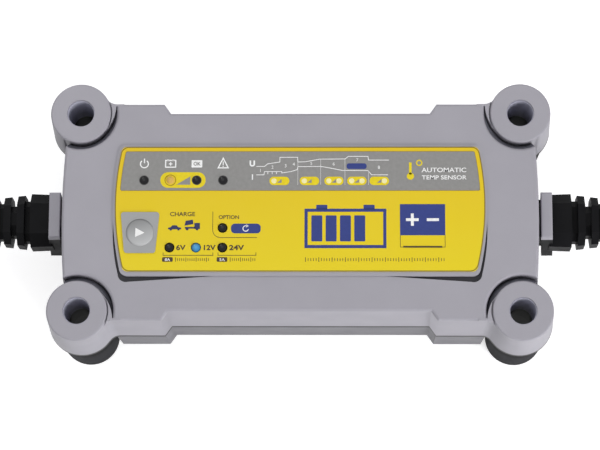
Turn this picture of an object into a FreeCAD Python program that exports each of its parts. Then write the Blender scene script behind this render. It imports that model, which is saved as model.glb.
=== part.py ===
"""Car battery charger: two housing shells between four rubber corner bumpers, electronics inside, two leads.

Lengths are in millimetres. The charger lies on its rubber feet with its front panel up (+Z) and its long
side along X. The origin is on the surface it stands on, under the middle of the housing. The mains lead
leaves the left end (-X) and the output lead leaves the right end (+X). Each lead is put away as a coil on
the floor.
"""

import FreeCAD, Part
import math
import os

V = FreeCAD.Vector
X_AXIS = V(1, 0, 0)
Y_AXIS = V(0, 1, 0)
Z_AXIS = V(0, 0, 1)

# Overall form
HEIGHT = 65.0
PARTING_Z = 37.0
FOOT_DROP = 5.0
BODY_LENGTH = 198.2
END_BULGE = 1.1
PAD_WIDTH = 92.0
WAIST_WIDTH = 84.0
PAD_INNER_INSET = 42.1
PAD_SLANT = 2.8
FRONT_DRAFT = 2.0
REAR_DRAFT = 1.4
REAR_INSET = 0.6
WALL = 2.4
FACE_WALL = 2.7
EDGE_R = 1.4
JOINT_GAP = 0.4
FIT = 0.15
SEAL_WIDTH = 1.1
SEAL_GROOVE_DEPTH = 1.0

# Ears at the four corners, with the crescent slot that parts each from the housing
EAR_INSET_X = 7.1
EAR_INSET_Y = 4.0
EAR_TOP_R = 12.6
EAR_DRAFT = 1.8
EAR_EDGE_R = 0.8
EAR_RISE = 0.3
EAR_HOLE_R = 5.8
EAR_LIP = 1.2
SLOT_WIDTH = 2.5
SLOT_OPEN_ANGLE = 38.0
SLOT_TIP_ANGLE = -12.0
SLOT_END_ANGLE = 125.0
CRESCENT_END_ANGLE = 113.0
LIP_LOW_ANGLE = 8.0
LIP_HIGH_ANGLE = 96.0
SLOT_SWELL = 1.0
WEB_BLEND_R = 5.0
RIM_GROOVE_WIDTH = 0.6
RIM_GROOVE_DEPTH = 1.8

# Rubber corner bumpers
BORE_R = 5.4
SLEEVE_WALL = 1.8
FOOT_TOP_R = 13.4
FOOT_BASE_R = 12.3
FOOT_EDGE = 1.0
FOOT_NECK = 0.9
LIP_HEIGHT = 3.0
LIP_DEPTH = 1.8
CRESCENT_DEPTH = 1.5
CRESCENT_SLOPE = 4.0

# Panel plateau, its groove and the printed label
PLATEAU_TOP_Y = 28.2
PLATEAU_BOTTOM_Y = -27.5
PLATEAU_TOP_INSET = 24.0
PLATEAU_BOTTOM_INSET = 25.1
PLATEAU_BULGE = 3.2
PLATEAU_R = 3.2
PLATEAU_RISE = 0.5
LABEL_MARGIN = 0.9
LABEL_BOTTOM_MARGIN = 1.8
LABEL_R = 2.5
LABEL_THICK = 0.3
GROOVE_DEPTH = 1.7
GROOVE_DROP = 2.4
GROOVE_SPREAD = 0.9
GROOVE_HEAD = 0.4
GROOVE_TOE = 3.0
GROOVE_TAIL = 39.5
SEAL_SINK = 0.8

# Indicator lamps and the mode button
LAMP_R = 1.95
LAMP_PROUD = 0.9
LAMP_HEIGHT = 10.5
LAMP_COLLAR_R = 2.4
LAMP_DOME = 0.85
LAMP_PITCH = 10.96
LAMP_INSET = 9.1
STATUS_ROW_Y = 13.0
VOLTAGE_ROW_Y = -15.6
OPTION_LAMP_Y = -7.3
BUTTON_INSET = 7.7
BUTTON_Y = -9.3
BUTTON_R = 6.0
BUTTON_DOME = 0.4
BUTTON_TRAVEL = 0.8
BUTTON_PROUD = 0.8
BUTTON_FLANGE = 1.0
BEZEL_THICK = 0.4
BEZEL_TOP_WIDTH = 16.1
BEZEL_BOTTOM_WIDTH = 12.8
BEZEL_HEIGHT = 17.3
BUTTON_CLEARANCE = 0.2
BEZEL_CORNER_R = 1.2
PLUNGER_R = 1.7
SWITCH_SIDE = 6.2

# Cable entries: a rubber boot with a grey cap over its root block
GLAND_Z = 42.0
NECK_WIDTH = 16.0
NECK_HEIGHT = 18.0
ROOT_GAP = 0.8
ROOT_REACH = 6.1
ROOT_TOP_WIDTH = 19.2
ROOT_BASE_WIDTH = 23.0
ROOT_BASE_Z = 29.0
CAP_TOP_Z = 58.0
CAP_THICK = 4.2
BOOT_HEAD_LENGTH = 8.8
BOOT_WIDTH = 23.0
BOOT_HEIGHT = 19.0
BOOT_RIBS = 5
BOOT_PITCH = 5.7
BOOT_GAP = 2.6
BOOT_TAPER = 0.055
BOOT_CHAMFER = 0.26
BOOT_NOSE = 9.0
BOOT_FLANGE = 2.0

# Leads
MAINS_D = 6.5
OUTPUT_D = 7.0
COIL_HALF_TURNS = 11
COIL_GAP = 0.6
COIL_INNER_DIAMETERS = 4.4
TIE_THICK = 0.8
TIE_WIDTH = 9.0
TIE_CLEARANCE = 0.3
PLUG_WIDTH = 26.0
PLUG_HEIGHT = 13.6
PLUG_LENGTH = 34.0
PLUG_NECK = 9.5
PLUG_PIN_R = 2.0
PLUG_PIN_LENGTH = 19.0
PLUG_PIN_PITCH = 19.0
PLUG_PIN_DEPTH = 8.0
CONNECTOR_WIDTH = 21.0
CONNECTOR_HEIGHT = 12.0
CONNECTOR_LENGTH = 30.0
CONNECTOR_NECK = 10.0
CONTACT_PITCH = 10.0
CONTACT_R = 1.9
CONTACT_LENGTH = 12.0
SOCKET_R = 4.0

# Boards
BOARD_THICK = 1.6
MAIN_BOARD_LENGTH = 150.0
MAIN_BOARD_WIDTH = 63.0
MAIN_BOARD_LIFT = 4.2
BOARD_HOLE_INSET = 5.0
STANDOFF_R = 3.2
DISPLAY_BOARD_LENGTH = 62.0
DISPLAY_BOARD_WIDTH = 44.0
DISPLAY_BOARD_INSET = 26.0
DISPLAY_BOARD_Y = -1.0
DISPLAY_POST_R = 2.6
DISPLAY_POST_INSET = 4.0

# Screws
HOUSING_SCREW_INSET_X = 32.1
HOUSING_SCREW_INSET_Y = 6.4
HOUSING_SCREW_R = 1.5
HOUSING_SCREW_LENGTH = 30.0
HOUSING_SCREW_SEAT = 16.0
HEAD_R = 3.0
HEAD_HEIGHT = 2.2
BOSS_R = 4.4
BOARD_SCREW_R = 1.2
BOARD_SCREW_LENGTH = 7.0

# Worked out from the sizes above
HALF_LENGTH = BODY_LENGTH / 2
EAR_X = HALF_LENGTH - EAR_INSET_X
EAR_Y = PAD_WIDTH / 2 - EAR_INSET_Y
PAD_INNER_X = HALF_LENGTH - PAD_INNER_INSET
PLATEAU_TOP_X = HALF_LENGTH - PLATEAU_TOP_INSET
PLATEAU_BOTTOM_X = HALF_LENGTH - PLATEAU_BOTTOM_INSET
PLATEAU_SIDE_X = (PLATEAU_TOP_X + PLATEAU_BOTTOM_X) / 2 + PLATEAU_BULGE
GROOVE_TAIL_X = PLATEAU_BOTTOM_X - GROOVE_TAIL
LAMP_FIRST_X = LAMP_INSET - PLATEAU_BOTTOM_X
BUTTON_X = BUTTON_INSET - PLATEAU_BOTTOM_X
ROOT_OUTER_X = HALF_LENGTH + ROOT_REACH
DISPLAY_BOARD_X = DISPLAY_BOARD_INSET - PLATEAU_BOTTOM_X
HOUSING_SCREW_X = HALF_LENGTH - HOUSING_SCREW_INSET_X
HOUSING_SCREW_Y = PAD_WIDTH / 2 - HOUSING_SCREW_INSET_Y
FACE_Z = HEIGHT - EAR_RISE
FACE_UNDER_Z = FACE_Z - FACE_WALL
SLOT_R = EAR_TOP_R + SLOT_WIDTH
REAR_TOP_Z = PARTING_Z - JOINT_GAP
FLOOR_Z = FOOT_DROP
FLOOR_TOP_Z = FLOOR_Z + FACE_WALL
PLATEAU_Z = FACE_Z + PLATEAU_RISE
LABEL_Z = PLATEAU_Z + LABEL_THICK
LAMP_TOP_Z = LABEL_Z + LAMP_PROUD
DISPLAY_TOP_Z = LAMP_TOP_Z - LAMP_HEIGHT
MAIN_BOARD_Z = FLOOR_TOP_Z + MAIN_BOARD_LIFT
MAIN_TOP_Z = MAIN_BOARD_Z + BOARD_THICK
LIP_TOP_Z = REAR_TOP_Z - 0.2
LIP_BASE_Z = LIP_TOP_Z - LIP_HEIGHT
CORNERS = {"rear_left": (-1, 1), "rear_right": (1, 1), "front_left": (-1, -1), "front_right": (1, -1)}


def polar(radius, angle):
    """A flat point at an angle in degrees."""
    turn = math.radians(angle)
    return radius * math.cos(turn), radius * math.sin(turn)


def line(start, end):
    return Part.LineSegment(start, end).toShape()


def arc(start, middle, end):
    return Part.Arc(start, middle, end).toShape()


def prism(wire, height):
    """A solid that stands on a flat wire."""
    return Part.Face(wire).extrude(V(0, 0, height))


def polygon(points, z):
    corners = [V(x, y, z) for x, y in points]
    return Part.makePolygon(corners + corners[:1])


def block(low, high):
    """A box between two corners."""
    return Part.makeBox(high[0] - low[0], high[1] - low[1], high[2] - low[2], V(*low))


def centred_block(x, y, z, length, width, height):
    """A box that stands at z with its middle over x, y."""
    return block((x - length / 2, y - width / 2, z), (x + length / 2, y + width / 2, z + height))


def rod(radius, base, length, axis=Z_AXIS):
    """A cylinder from base over a length along the axis."""
    return Part.makeCylinder(radius, length, V(*base), axis)


def tube(outer, inner, base, length, axis=Z_AXIS):
    return rod(outer, base, length, axis).cut(rod(inner, base, length, axis))


def join(shapes):
    """One solid from overlapping shapes."""
    first, *others = shapes
    return first.fuse(others).removeSplitter() if others else first


def loft(wires):
    return Part.makeLoft(wires, True, True)


def mirrored(shape, across):
    return shape.mirror(V(0, 0, 0), across)


def to_corner(shape, sign_x, sign_y):
    """Moves a shape made for the right rear corner to another corner."""
    if sign_x < 0:
        shape = mirrored(shape, X_AXIS)
    if sign_y < 0:
        shape = mirrored(shape, Y_AXIS)
    return shape


def four_corners(shape):
    return [to_corner(shape, sx, sy) for sx, sy in CORNERS.values()]


def edges_at(shape, z):
    """The edges that lie in one level."""
    level = []
    for edge in shape.Edges:
        if all(abs(vertex.Z - z) < 0.01 for vertex in edge.Vertexes) and abs(edge.CenterOfMass.z - z) < 0.01:
            level.append(edge)
    return level


def save(name, shape):
    shape.exportStep("parts/" + name + ".step")
    print(f"{name}: solids {len(shape.Solids)} valid {shape.isValid()} volume {shape.Volume:.1f}")


# Housing outline


def body_outline(z, grow, corner_r):
    """The housing's plan at one level, hollowed round each ear, grown outwards by the draft."""
    corner_x = BODY_LENGTH / 2 - END_BULGE + grow
    pad_y = PAD_WIDTH / 2 + grow
    end_y = EAR_Y - math.sqrt(corner_r**2 - (corner_x - EAR_X) ** 2)
    pad_x = EAR_X - math.sqrt(corner_r**2 - (pad_y - EAR_Y) ** 2)
    start = math.atan2(end_y - EAR_Y, corner_x - EAR_X)
    stop = math.atan2(pad_y - EAR_Y, pad_x - EAR_X) - 2 * math.pi
    hollow_x, hollow_y = polar(corner_r, math.degrees((start + stop) / 2))
    end = (corner_x, end_y)
    hollow = (EAR_X + hollow_x, EAR_Y + hollow_y)
    pad = (pad_x, pad_y)
    inner = (PAD_INNER_X, pad_y)
    waist = (PAD_INNER_X - PAD_SLANT, WAIST_WIDTH / 2 + grow)
    edges = []
    for sx, sy, outwards in ((1, 1, True), (-1, 1, False), (-1, -1, True), (1, -1, False)):
        e, h, p, i, w = (V(sx * x, sy * y, z) for x, y in (end, hollow, pad, inner, waist))
        if outwards:
            edges.append(arc(V(e.x, -e.y, z), V(e.x + sx * END_BULGE, 0, z), e))
            edges += [arc(e, h, p), line(p, i), line(i, w), line(w, V(-w.x, w.y, z))]
        else:
            edges += [line(w, i), line(i, p), arc(p, h, e)]
    return Part.Wire(edges)


def ear_radius(z):
    """The ear's drafted outer radius at a height in the front shell."""
    return EAR_TOP_R + EAR_DRAFT * (HEIGHT - z) / (HEIGHT - PARTING_Z)


def front_grow(z):
    return FRONT_DRAFT * (FACE_Z - z) / (FACE_Z - PARTING_Z)


def ear_point(u, v, z):
    """A point of the right rear ear: u towards the housing's middle along X, v towards it along Y."""
    return V(EAR_X - u, EAR_Y - v, z)


def slot_plan(z, clearance=0.0, end_angle=SLOT_END_ANGLE):
    """The crescent between ear and housing, narrowed by a clearance."""
    inner_r = EAR_TOP_R + clearance
    outer_r = SLOT_R - clearance
    far_inner = ear_point(*polar(inner_r, end_angle), z)
    far_outer = ear_point(*polar(outer_r, end_angle), z)
    mid_angle = (end_angle + SLOT_OPEN_ANGLE) / 2
    tip_angle = SLOT_TIP_ANGLE + 2 * clearance / SLOT_WIDTH * (SLOT_OPEN_ANGLE - SLOT_TIP_ANGLE)
    leave = ear_point(*polar(inner_r, SLOT_OPEN_ANGLE), z)
    swell = ear_point(*polar(inner_r + SLOT_SWELL, (SLOT_OPEN_ANGLE + tip_angle) / 2), z)
    tip = ear_point(*polar(outer_r, tip_angle), z)
    outer_mid = ear_point(*polar(outer_r, (end_angle + tip_angle) / 2), z)
    return Part.Wire(
        [
            arc(far_inner, ear_point(*polar(inner_r, mid_angle), z), leave),
            arc(leave, swell, tip),
            arc(tip, outer_mid, far_outer),
            line(far_outer, far_inner),
        ]
    )


def web_plan(z):
    """The web that carries the ear on the pad's side wall, with its concave blend."""
    side = -(PAD_WIDTH / 2 + front_grow(z) - EAR_Y)
    radius = ear_radius(z)
    centre_v = side - WEB_BLEND_R
    centre_u = math.sqrt((radius + WEB_BLEND_R) ** 2 - centre_v**2)
    touch = V(centre_u, centre_v, 0) * (radius / (radius + WEB_BLEND_R))
    away = V(touch.x - centre_u, touch.y - centre_v, 0)
    bisector = (away.normalize() + V(0, 1, 0)).normalize() * WEB_BLEND_R
    tip_u, tip_v = polar(SLOT_R, SLOT_TIP_ANGLE)
    inside_u = centre_u + 3.0
    points = [(tip_u, tip_v), (inside_u, tip_v), (inside_u, side), (centre_u, side)]
    corners = [ear_point(u, v, z) for u, v in points]
    blend = ear_point(centre_u + bisector.x, centre_v + bisector.y, z)
    on_ear = ear_point(touch.x, touch.y, z)
    middle = ear_point(0, 0, z)
    leave = ear_point(*polar(EAR_TOP_R, SLOT_OPEN_ANGLE), z)
    swell = ear_point(*polar(EAR_TOP_R + SLOT_SWELL, (SLOT_OPEN_ANGLE + SLOT_TIP_ANGLE) / 2), z)
    edges = [line(a, b) for a, b in zip(corners, corners[1:])]
    edges += [arc(corners[-1], blend, on_ear), line(on_ear, middle), line(middle, leave)]
    edges.append(arc(leave, swell, corners[0]))
    return Part.Wire(edges)


def ear():
    """One ear with its drafted wall and rounded rim, before its hole."""
    cone = Part.makeCone(ear_radius(PARTING_Z), EAR_TOP_R, HEIGHT - PARTING_Z, V(EAR_X, EAR_Y, PARTING_Z))
    return cone.makeFillet(EAR_EDGE_R, edges_at(cone, HEIGHT))


# Panel plan shapes


def panel_prism(top_y, bottom_y, shrink, corner_r, z, height):
    """A plate with straight long edges, bowed ends and rounded corners, set in from the plateau's sides."""
    middle_y = (top_y + bottom_y) / 2
    corners = [(PLATEAU_BOTTOM_X, bottom_y), (PLATEAU_SIDE_X, middle_y), (PLATEAU_TOP_X, top_y)]
    right = [V(x - shrink, y, z) for x, y in corners]
    left = [V(-p.x, p.y, z) for p in reversed(right)]
    wire = Part.Wire([arc(*right), line(right[2], left[0]), arc(*left), line(left[2], right[0])])
    plate = prism(wire, height)
    upright = [edge for edge in plate.Edges if abs(edge.Vertexes[0].Z - edge.Vertexes[-1].Z) > height / 2]
    return plate.makeFillet(corner_r, upright)


def plateau(z, height, shrink=0.0, corner_r=PLATEAU_R):
    return panel_prism(PLATEAU_TOP_Y - shrink, PLATEAU_BOTTOM_Y + shrink, shrink, corner_r, z, height)


def groove_prism(z, height, clearance=0.0):
    """The tapered groove that hugs the plateau's lower right corner."""
    corner_x = PLATEAU_BOTTOM_X
    low_y = PLATEAU_BOTTOM_Y - GROOVE_DROP + clearance
    spread = GROOVE_SPREAD - clearance
    start = V(PLATEAU_SIDE_X - GROOVE_HEAD, 0, z)
    bend = V((PLATEAU_SIDE_X * 3 + corner_x) / 4 + spread - GROOVE_HEAD, low_y / 2, z)
    corner = V(corner_x + spread + GROOVE_HEAD, low_y + PLATEAU_R, z)
    foot = V(corner_x - GROOVE_TOE, low_y, z)
    turn = V(corner_x - GROOVE_TOE / 15, low_y + GROOVE_TOE / 6, z)
    tail = V(GROOVE_TAIL_X, PLATEAU_BOTTOM_Y + 0.05, z)
    inside = [V(GROOVE_TAIL_X, PLATEAU_BOTTOM_Y + PLATEAU_R, z), V(corner_x - PLATEAU_R, 0, z)]
    wire = Part.Wire(
        [
            arc(start, bend, corner),
            arc(corner, turn, foot),
            line(foot, tail),
            line(tail, inside[0]),
            line(inside[0], inside[1]),
            line(inside[1], start),
        ]
    )
    return prism(wire, height).cut(plateau(z, height, -clearance))


def lamp_places():
    """Where each lamp stands: a status row, one option lamp and a voltage row."""
    columns = [LAMP_FIRST_X + i * LAMP_PITCH for i in range(4)]
    places = {}
    for name, x in zip(("power", "charge", "full", "fault"), columns):
        places[name] = (x, STATUS_ROW_Y)
    for name, x in zip(("six_volts", "twelve_volts", "twenty_four_volts"), columns[1:]):
        places[name] = (x, VOLTAGE_ROW_Y)
    places["option"] = (columns[3], OPTION_LAMP_Y)
    return places


def bezel_prism(z, height, grow=0.0):
    """The trapezoid round the button."""
    top_half = BEZEL_TOP_WIDTH / 2 + grow
    bottom_half = BEZEL_BOTTOM_WIDTH / 2 + grow
    half_height = BEZEL_HEIGHT / 2 + grow
    right = [(bottom_half, -half_height), (top_half, half_height)]
    points = right + [(-x, y) for x, y in reversed(right)]
    plate = prism(polygon([(BUTTON_X + x, BUTTON_Y + y) for x, y in points], z), height)
    upright = [edge for edge in plate.Edges if abs(edge.Vertexes[0].Z - edge.Vertexes[-1].Z) > height / 2]
    return plate.makeFillet(BEZEL_CORNER_R, upright)


# Housing shells


def neck_opening(width_clear, z_low, z_high):
    """The two gaps in the end walls where the boots pass."""
    half = NECK_WIDTH / 2 + width_clear
    reach = BODY_LENGTH / 2 + FRONT_DRAFT + 1
    inner = BODY_LENGTH / 2 - WALL - 3
    right = block((inner, -half, z_low), (reach, half, z_high))
    return [right, mirrored(right, X_AXIS)]


def screw_places():
    return [(sx * HOUSING_SCREW_X, sy * HOUSING_SCREW_Y) for sx, sy in CORNERS.values()]


def display_posts():
    half = DISPLAY_BOARD_LENGTH / 2 - DISPLAY_POST_INSET
    rise = DISPLAY_BOARD_WIDTH / 2 - DISPLAY_POST_INSET
    first = (DISPLAY_BOARD_X - half, DISPLAY_BOARD_Y + rise)
    return [first, (DISPLAY_BOARD_X + half, DISPLAY_BOARD_Y - rise)]


def front_housing():
    shell = loft([body_outline(PARTING_Z, FRONT_DRAFT, SLOT_R), body_outline(FACE_Z, 0, SLOT_R)])
    shell = shell.makeFillet(EDGE_R, edges_at(shell, FACE_Z))
    web = loft([web_plan(PARTING_Z), web_plan(FACE_Z)])
    groove_foot = (EAR_X, EAR_Y, FACE_Z - RIM_GROOVE_DEPTH)
    web = web.cut(rod(EAR_TOP_R + RIM_GROOVE_WIDTH, groove_foot, RIM_GROOVE_DEPTH + 1))
    solid = join([shell, plateau(FACE_Z - 1, PLATEAU_RISE + 1)] + four_corners(web) + four_corners(ear()))
    cavity = loft(
        [
            body_outline(PARTING_Z - 1, FRONT_DRAFT - WALL, SLOT_R + WALL),
            body_outline(FACE_UNDER_Z, -WALL, SLOT_R + WALL),
        ]
    )
    solid = solid.cut(cavity)
    bosses = [rod(BOSS_R, (x, y, PARTING_Z), FACE_UNDER_Z - PARTING_Z + 1) for x, y in screw_places()]
    post = FACE_UNDER_Z - DISPLAY_TOP_Z + 1
    bosses += [rod(DISPLAY_POST_R, (x, y, DISPLAY_TOP_Z), post) for x, y in display_posts()]
    solid = join([solid] + bosses)
    cuts = []
    hole = rod(EAR_HOLE_R, (EAR_X, EAR_Y, PARTING_Z - 1), HEIGHT)
    sleeve = rod(BORE_R + SLEEVE_WALL + FIT, (EAR_X, EAR_Y, PARTING_Z - 1), HEIGHT - EAR_LIP - PARTING_Z + 1)
    slot = prism(slot_plan(PARTING_Z - 1), HEIGHT)
    cuts += four_corners(hole) + four_corners(sleeve) + four_corners(slot)
    pilot = HOUSING_SCREW_R + 0.05
    cuts += [rod(pilot, (x, y, PARTING_Z - 1), HOUSING_SCREW_LENGTH - 8) for x, y in screw_places()]
    post_pilot = BOARD_SCREW_R + 0.05
    cuts += [rod(post_pilot, (x, y, DISPLAY_TOP_Z - 1), BOARD_SCREW_LENGTH) for x, y in display_posts()]
    cuts += neck_opening(FIT, PARTING_Z - 1, GLAND_Z + NECK_HEIGHT / 2 + FIT)
    cuts += [rod(LAMP_R + FIT, (x, y, FACE_UNDER_Z - 1), 9) for x, y in lamp_places().values()]
    cuts.append(rod(BUTTON_R + BUTTON_CLEARANCE, (BUTTON_X, BUTTON_Y, FACE_UNDER_Z - 1), 9))
    groove = groove_prism(FACE_Z - GROOVE_DEPTH, GROOVE_DEPTH + 1)
    cuts += [groove, mirrored(groove, X_AXIS)]
    seal_half = SEAL_WIDTH / 2 + 0.1
    seal_groove = seal_ring(PARTING_Z - 1, SEAL_GROOVE_DEPTH + 1, seal_half)
    cuts.append(seal_groove)
    return solid.cut(cuts)


def seal_ring(z, height, half_width):
    """A band that runs in the middle of the housing's wall."""
    centre = FRONT_DRAFT - WALL / 2
    corner_r = SLOT_R + WALL / 2
    outer = prism(body_outline(z, centre + half_width, corner_r - half_width), height)
    inner = prism(body_outline(z, centre - half_width, corner_r + half_width), height)
    return outer.cut(inner)


def housing_seal():
    ring = seal_ring(REAR_TOP_Z, JOINT_GAP + SEAL_GROOVE_DEPTH, SEAL_WIDTH / 2)
    return ring.cut(neck_opening(FIT + 0.6, REAR_TOP_Z - 1, PARTING_Z + 5))


def rear_housing():
    slope = REAR_DRAFT / (REAR_TOP_Z - FLOOR_Z)
    edge = 1.6
    top_grow = FRONT_DRAFT - REAR_INSET
    base_grow = top_grow - REAR_DRAFT
    solid = loft(
        [
            body_outline(FLOOR_Z, base_grow - edge, SLOT_R + edge),
            body_outline(FLOOR_Z + edge, base_grow + slope * edge, SLOT_R),
            body_outline(REAR_TOP_Z, top_grow, SLOT_R),
        ]
    )
    cavity = loft(
        [
            body_outline(FLOOR_TOP_Z, base_grow - WALL, SLOT_R + WALL),
            body_outline(REAR_TOP_Z + 1, top_grow - WALL, SLOT_R + WALL),
        ]
    )
    solid = solid.cut(cavity)
    bosses = [rod(BOSS_R, (x, y, FLOOR_Z + 0.5), REAR_TOP_Z - FLOOR_Z - 0.5) for x, y in screw_places()]
    rise = MAIN_BOARD_Z - FLOOR_Z - 1
    bosses += [rod(STANDOFF_R, (x, y, FLOOR_Z + 1), rise) for x, y in board_screw_places()]
    solid = join([solid] + bosses)
    cuts = []
    seat = REAR_TOP_Z - HOUSING_SCREW_SEAT
    cuts += [rod(HEAD_R + 0.5, (x, y, FLOOR_Z - 1), seat - FLOOR_Z + 1) for x, y in screw_places()]
    cuts += [rod(HOUSING_SCREW_R + 0.2, (x, y, FLOOR_Z), HEIGHT) for x, y in screw_places()]
    pilot_r = BOARD_SCREW_R + 0.05
    pilot_z = MAIN_BOARD_Z - BOARD_SCREW_LENGTH + 1
    cuts += [rod(pilot_r, (x, y, pilot_z), BOARD_SCREW_LENGTH + 5) for x, y in board_screw_places()]
    lip = prism(lip_plan(LIP_BASE_Z, 0.15), HEIGHT)
    cuts += four_corners(lip)
    cuts += neck_opening(FIT, GLAND_Z - NECK_HEIGHT / 2 - FIT, HEIGHT)
    return solid.cut(cuts)


def board_screw_places():
    x = MAIN_BOARD_LENGTH / 2 - BOARD_HOLE_INSET
    y = MAIN_BOARD_WIDTH / 2 - BOARD_HOLE_INSET
    return [(sx * x, sy * y) for sx, sy in CORNERS.values()]


# Corner bumpers


def lip_plan(z, clearance):
    """The bumper's tongue that the two shells clamp, seen from above."""
    inner_r = EAR_TOP_R - 2
    outer_r = SLOT_R + LIP_DEPTH + clearance
    low = LIP_LOW_ANGLE - math.degrees(clearance / outer_r)
    high = LIP_HIGH_ANGLE + math.degrees(clearance / outer_r)
    middle = (low + high) / 2
    a, b, c = (ear_point(*polar(inner_r, angle), z) for angle in (low, middle, high))
    d, e, f = (ear_point(*polar(outer_r, angle), z) for angle in (high, middle, low))
    return Part.Wire([arc(a, b, c), line(c, d), arc(d, e, f), line(f, a)])


def crescent(towards_ear):
    """The bumper's rim in the slot. Its top slopes down towards the ear, or else away from it."""
    top = FACE_Z - CRESCENT_DEPTH
    rim = prism(slot_plan(LIP_BASE_Z, FIT, CRESCENT_END_ANGLE), top - LIP_BASE_Z)
    low = V(EAR_X, EAR_Y, top - CRESCENT_SLOPE)
    if towards_ear:
        return rim.cut(Part.makeCone(EAR_TOP_R, SLOT_R, CRESCENT_SLOPE, low))
    around = Part.makeCylinder(SLOT_R, CRESCENT_SLOPE, low)
    return rim.cut(around.cut(Part.makeCone(SLOT_R, EAR_TOP_R, CRESCENT_SLOPE, low)))


def bumper(rear):
    """Foot, sleeve through the ear, crescent in the slot and clamped lip, moulded in one."""
    shoulder = PARTING_Z - FOOT_NECK
    at = V(EAR_X, EAR_Y, 0)
    foot = Part.makeCone(FOOT_BASE_R, FOOT_TOP_R, shoulder, at)
    foot = foot.makeFillet(FOOT_EDGE, edges_at(foot, 0))
    neck = rod(FOOT_TOP_R - 0.9, (EAR_X, EAR_Y, shoulder - 1), FOOT_NECK + 1)
    sleeve = rod(BORE_R + SLEEVE_WALL, (EAR_X, EAR_Y, shoulder), HEIGHT - EAR_LIP - shoulder)
    lip = prism(lip_plan(LIP_BASE_Z, 0), LIP_HEIGHT)
    body = join([foot, neck, sleeve, lip, crescent(rear)])
    return body.cut(rod(BORE_R, (EAR_X, EAR_Y, -1), HEIGHT + 2))


# Panel parts


def front_label():
    top_y = PLATEAU_TOP_Y - LABEL_MARGIN
    bottom_y = PLATEAU_BOTTOM_Y + LABEL_BOTTOM_MARGIN
    sheet = panel_prism(top_y, bottom_y, LABEL_MARGIN, LABEL_R, PLATEAU_Z, LABEL_THICK)
    cuts = [rod(LAMP_R + FIT, (x, y, PLATEAU_Z - 1), 3) for x, y in lamp_places().values()]
    cuts.append(rod(BUTTON_R + BUTTON_CLEARANCE, (BUTTON_X, BUTTON_Y, PLATEAU_Z - 1), 3))
    return sheet.cut(cuts)


def panel_seal():
    depth = GROOVE_DEPTH - SEAL_SINK
    strip = groove_prism(FACE_Z - GROOVE_DEPTH, depth, 0.05)
    return Part.makeCompound([strip, mirrored(strip, X_AXIS)])


def button_bezel():
    plate = bezel_prism(LABEL_Z, BEZEL_THICK)
    return plate.cut(rod(BUTTON_R + BUTTON_CLEARANCE, (BUTTON_X, BUTTON_Y, LABEL_Z - 1), 3))


def button_levels():
    """The heights of the button's top, its retaining flange and the foot of its stem."""
    top = LABEL_Z + BUTTON_PROUD
    flange_top = FACE_UNDER_Z - 0.1
    return top, flange_top, flange_top - BUTTON_FLANGE


def mode_button():
    """A domed key that a flange holds behind the panel."""
    top, flange_top, foot = button_levels()
    dome_r = (BUTTON_R**2 + BUTTON_DOME**2) / (2 * BUTTON_DOME)
    cap = rod(BUTTON_R, (BUTTON_X, BUTTON_Y, foot), top - foot)
    cap = cap.common(Part.makeSphere(dome_r, V(BUTTON_X, BUTTON_Y, top - dome_r)))
    flange = rod(BUTTON_R + 1.1, (BUTTON_X, BUTTON_Y, foot), BUTTON_FLANGE)
    return join([cap, flange])


def switch_plunger():
    """The switch's moving pin, from inside the switch to the key."""
    foot = button_levels()[2]
    base = DISPLAY_TOP_Z + 0.4 + BUTTON_TRAVEL
    return rod(PLUNGER_R, (BUTTON_X, BUTTON_Y, base), foot - base)


def mode_switch():
    top = button_levels()[2] - BUTTON_TRAVEL - 0.4
    body = centred_block(BUTTON_X, BUTTON_Y, DISPLAY_TOP_Z, SWITCH_SIDE, SWITCH_SIDE, top - DISPLAY_TOP_Z)
    return body.cut(rod(PLUNGER_R + 0.1, (BUTTON_X, BUTTON_Y, DISPLAY_TOP_Z + 0.4), HEIGHT))


def lamp(x, y):
    """A round lamp on a collar that stands on the display board."""
    stem = rod(LAMP_R, (x, y, DISPLAY_TOP_Z), LAMP_HEIGHT)
    stem = stem.makeFillet(LAMP_R * LAMP_DOME, edges_at(stem, DISPLAY_TOP_Z + LAMP_HEIGHT))
    collar = rod(LAMP_COLLAR_R, (x, y, DISPLAY_TOP_Z), FACE_UNDER_Z - DISPLAY_TOP_Z - 0.3)
    return join([stem, collar])


def display_board():
    board = centred_block(
        DISPLAY_BOARD_X,
        DISPLAY_BOARD_Y,
        DISPLAY_TOP_Z - BOARD_THICK,
        DISPLAY_BOARD_LENGTH,
        DISPLAY_BOARD_WIDTH,
        BOARD_THICK,
    )
    return board.cut([rod(BOARD_SCREW_R + 0.15, (x, y, DISPLAY_TOP_Z - 3), 5) for x, y in display_posts()])


def screw(x, y, seat, length, radius, up):
    """A pan-head screw whose head bears at seat and whose shank points up or down."""
    head_r = HEAD_R if radius == HOUSING_SCREW_R else HEAD_R * 0.75
    head_z = seat - HEAD_HEIGHT if up else seat
    shank_z = seat - 1 if up else seat - length
    return join([rod(head_r, (x, y, head_z), HEAD_HEIGHT), rod(radius, (x, y, shank_z), length + 1)])


def housing_screws():
    seat = REAR_TOP_Z - HOUSING_SCREW_SEAT
    length = HOUSING_SCREW_LENGTH
    places = screw_places()
    return Part.makeCompound([screw(*place, seat, length, HOUSING_SCREW_R, True) for place in places])


def board_screws():
    length = BOARD_SCREW_LENGTH
    places = board_screw_places()
    return Part.makeCompound([screw(*place, MAIN_TOP_Z, length, BOARD_SCREW_R, False) for place in places])


def display_screws():
    under = DISPLAY_TOP_Z - BOARD_THICK
    length = BOARD_SCREW_LENGTH - 0.5
    return Part.makeCompound([screw(x, y, under, length, BOARD_SCREW_R, True) for x, y in display_posts()])


# Cable boots


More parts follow.
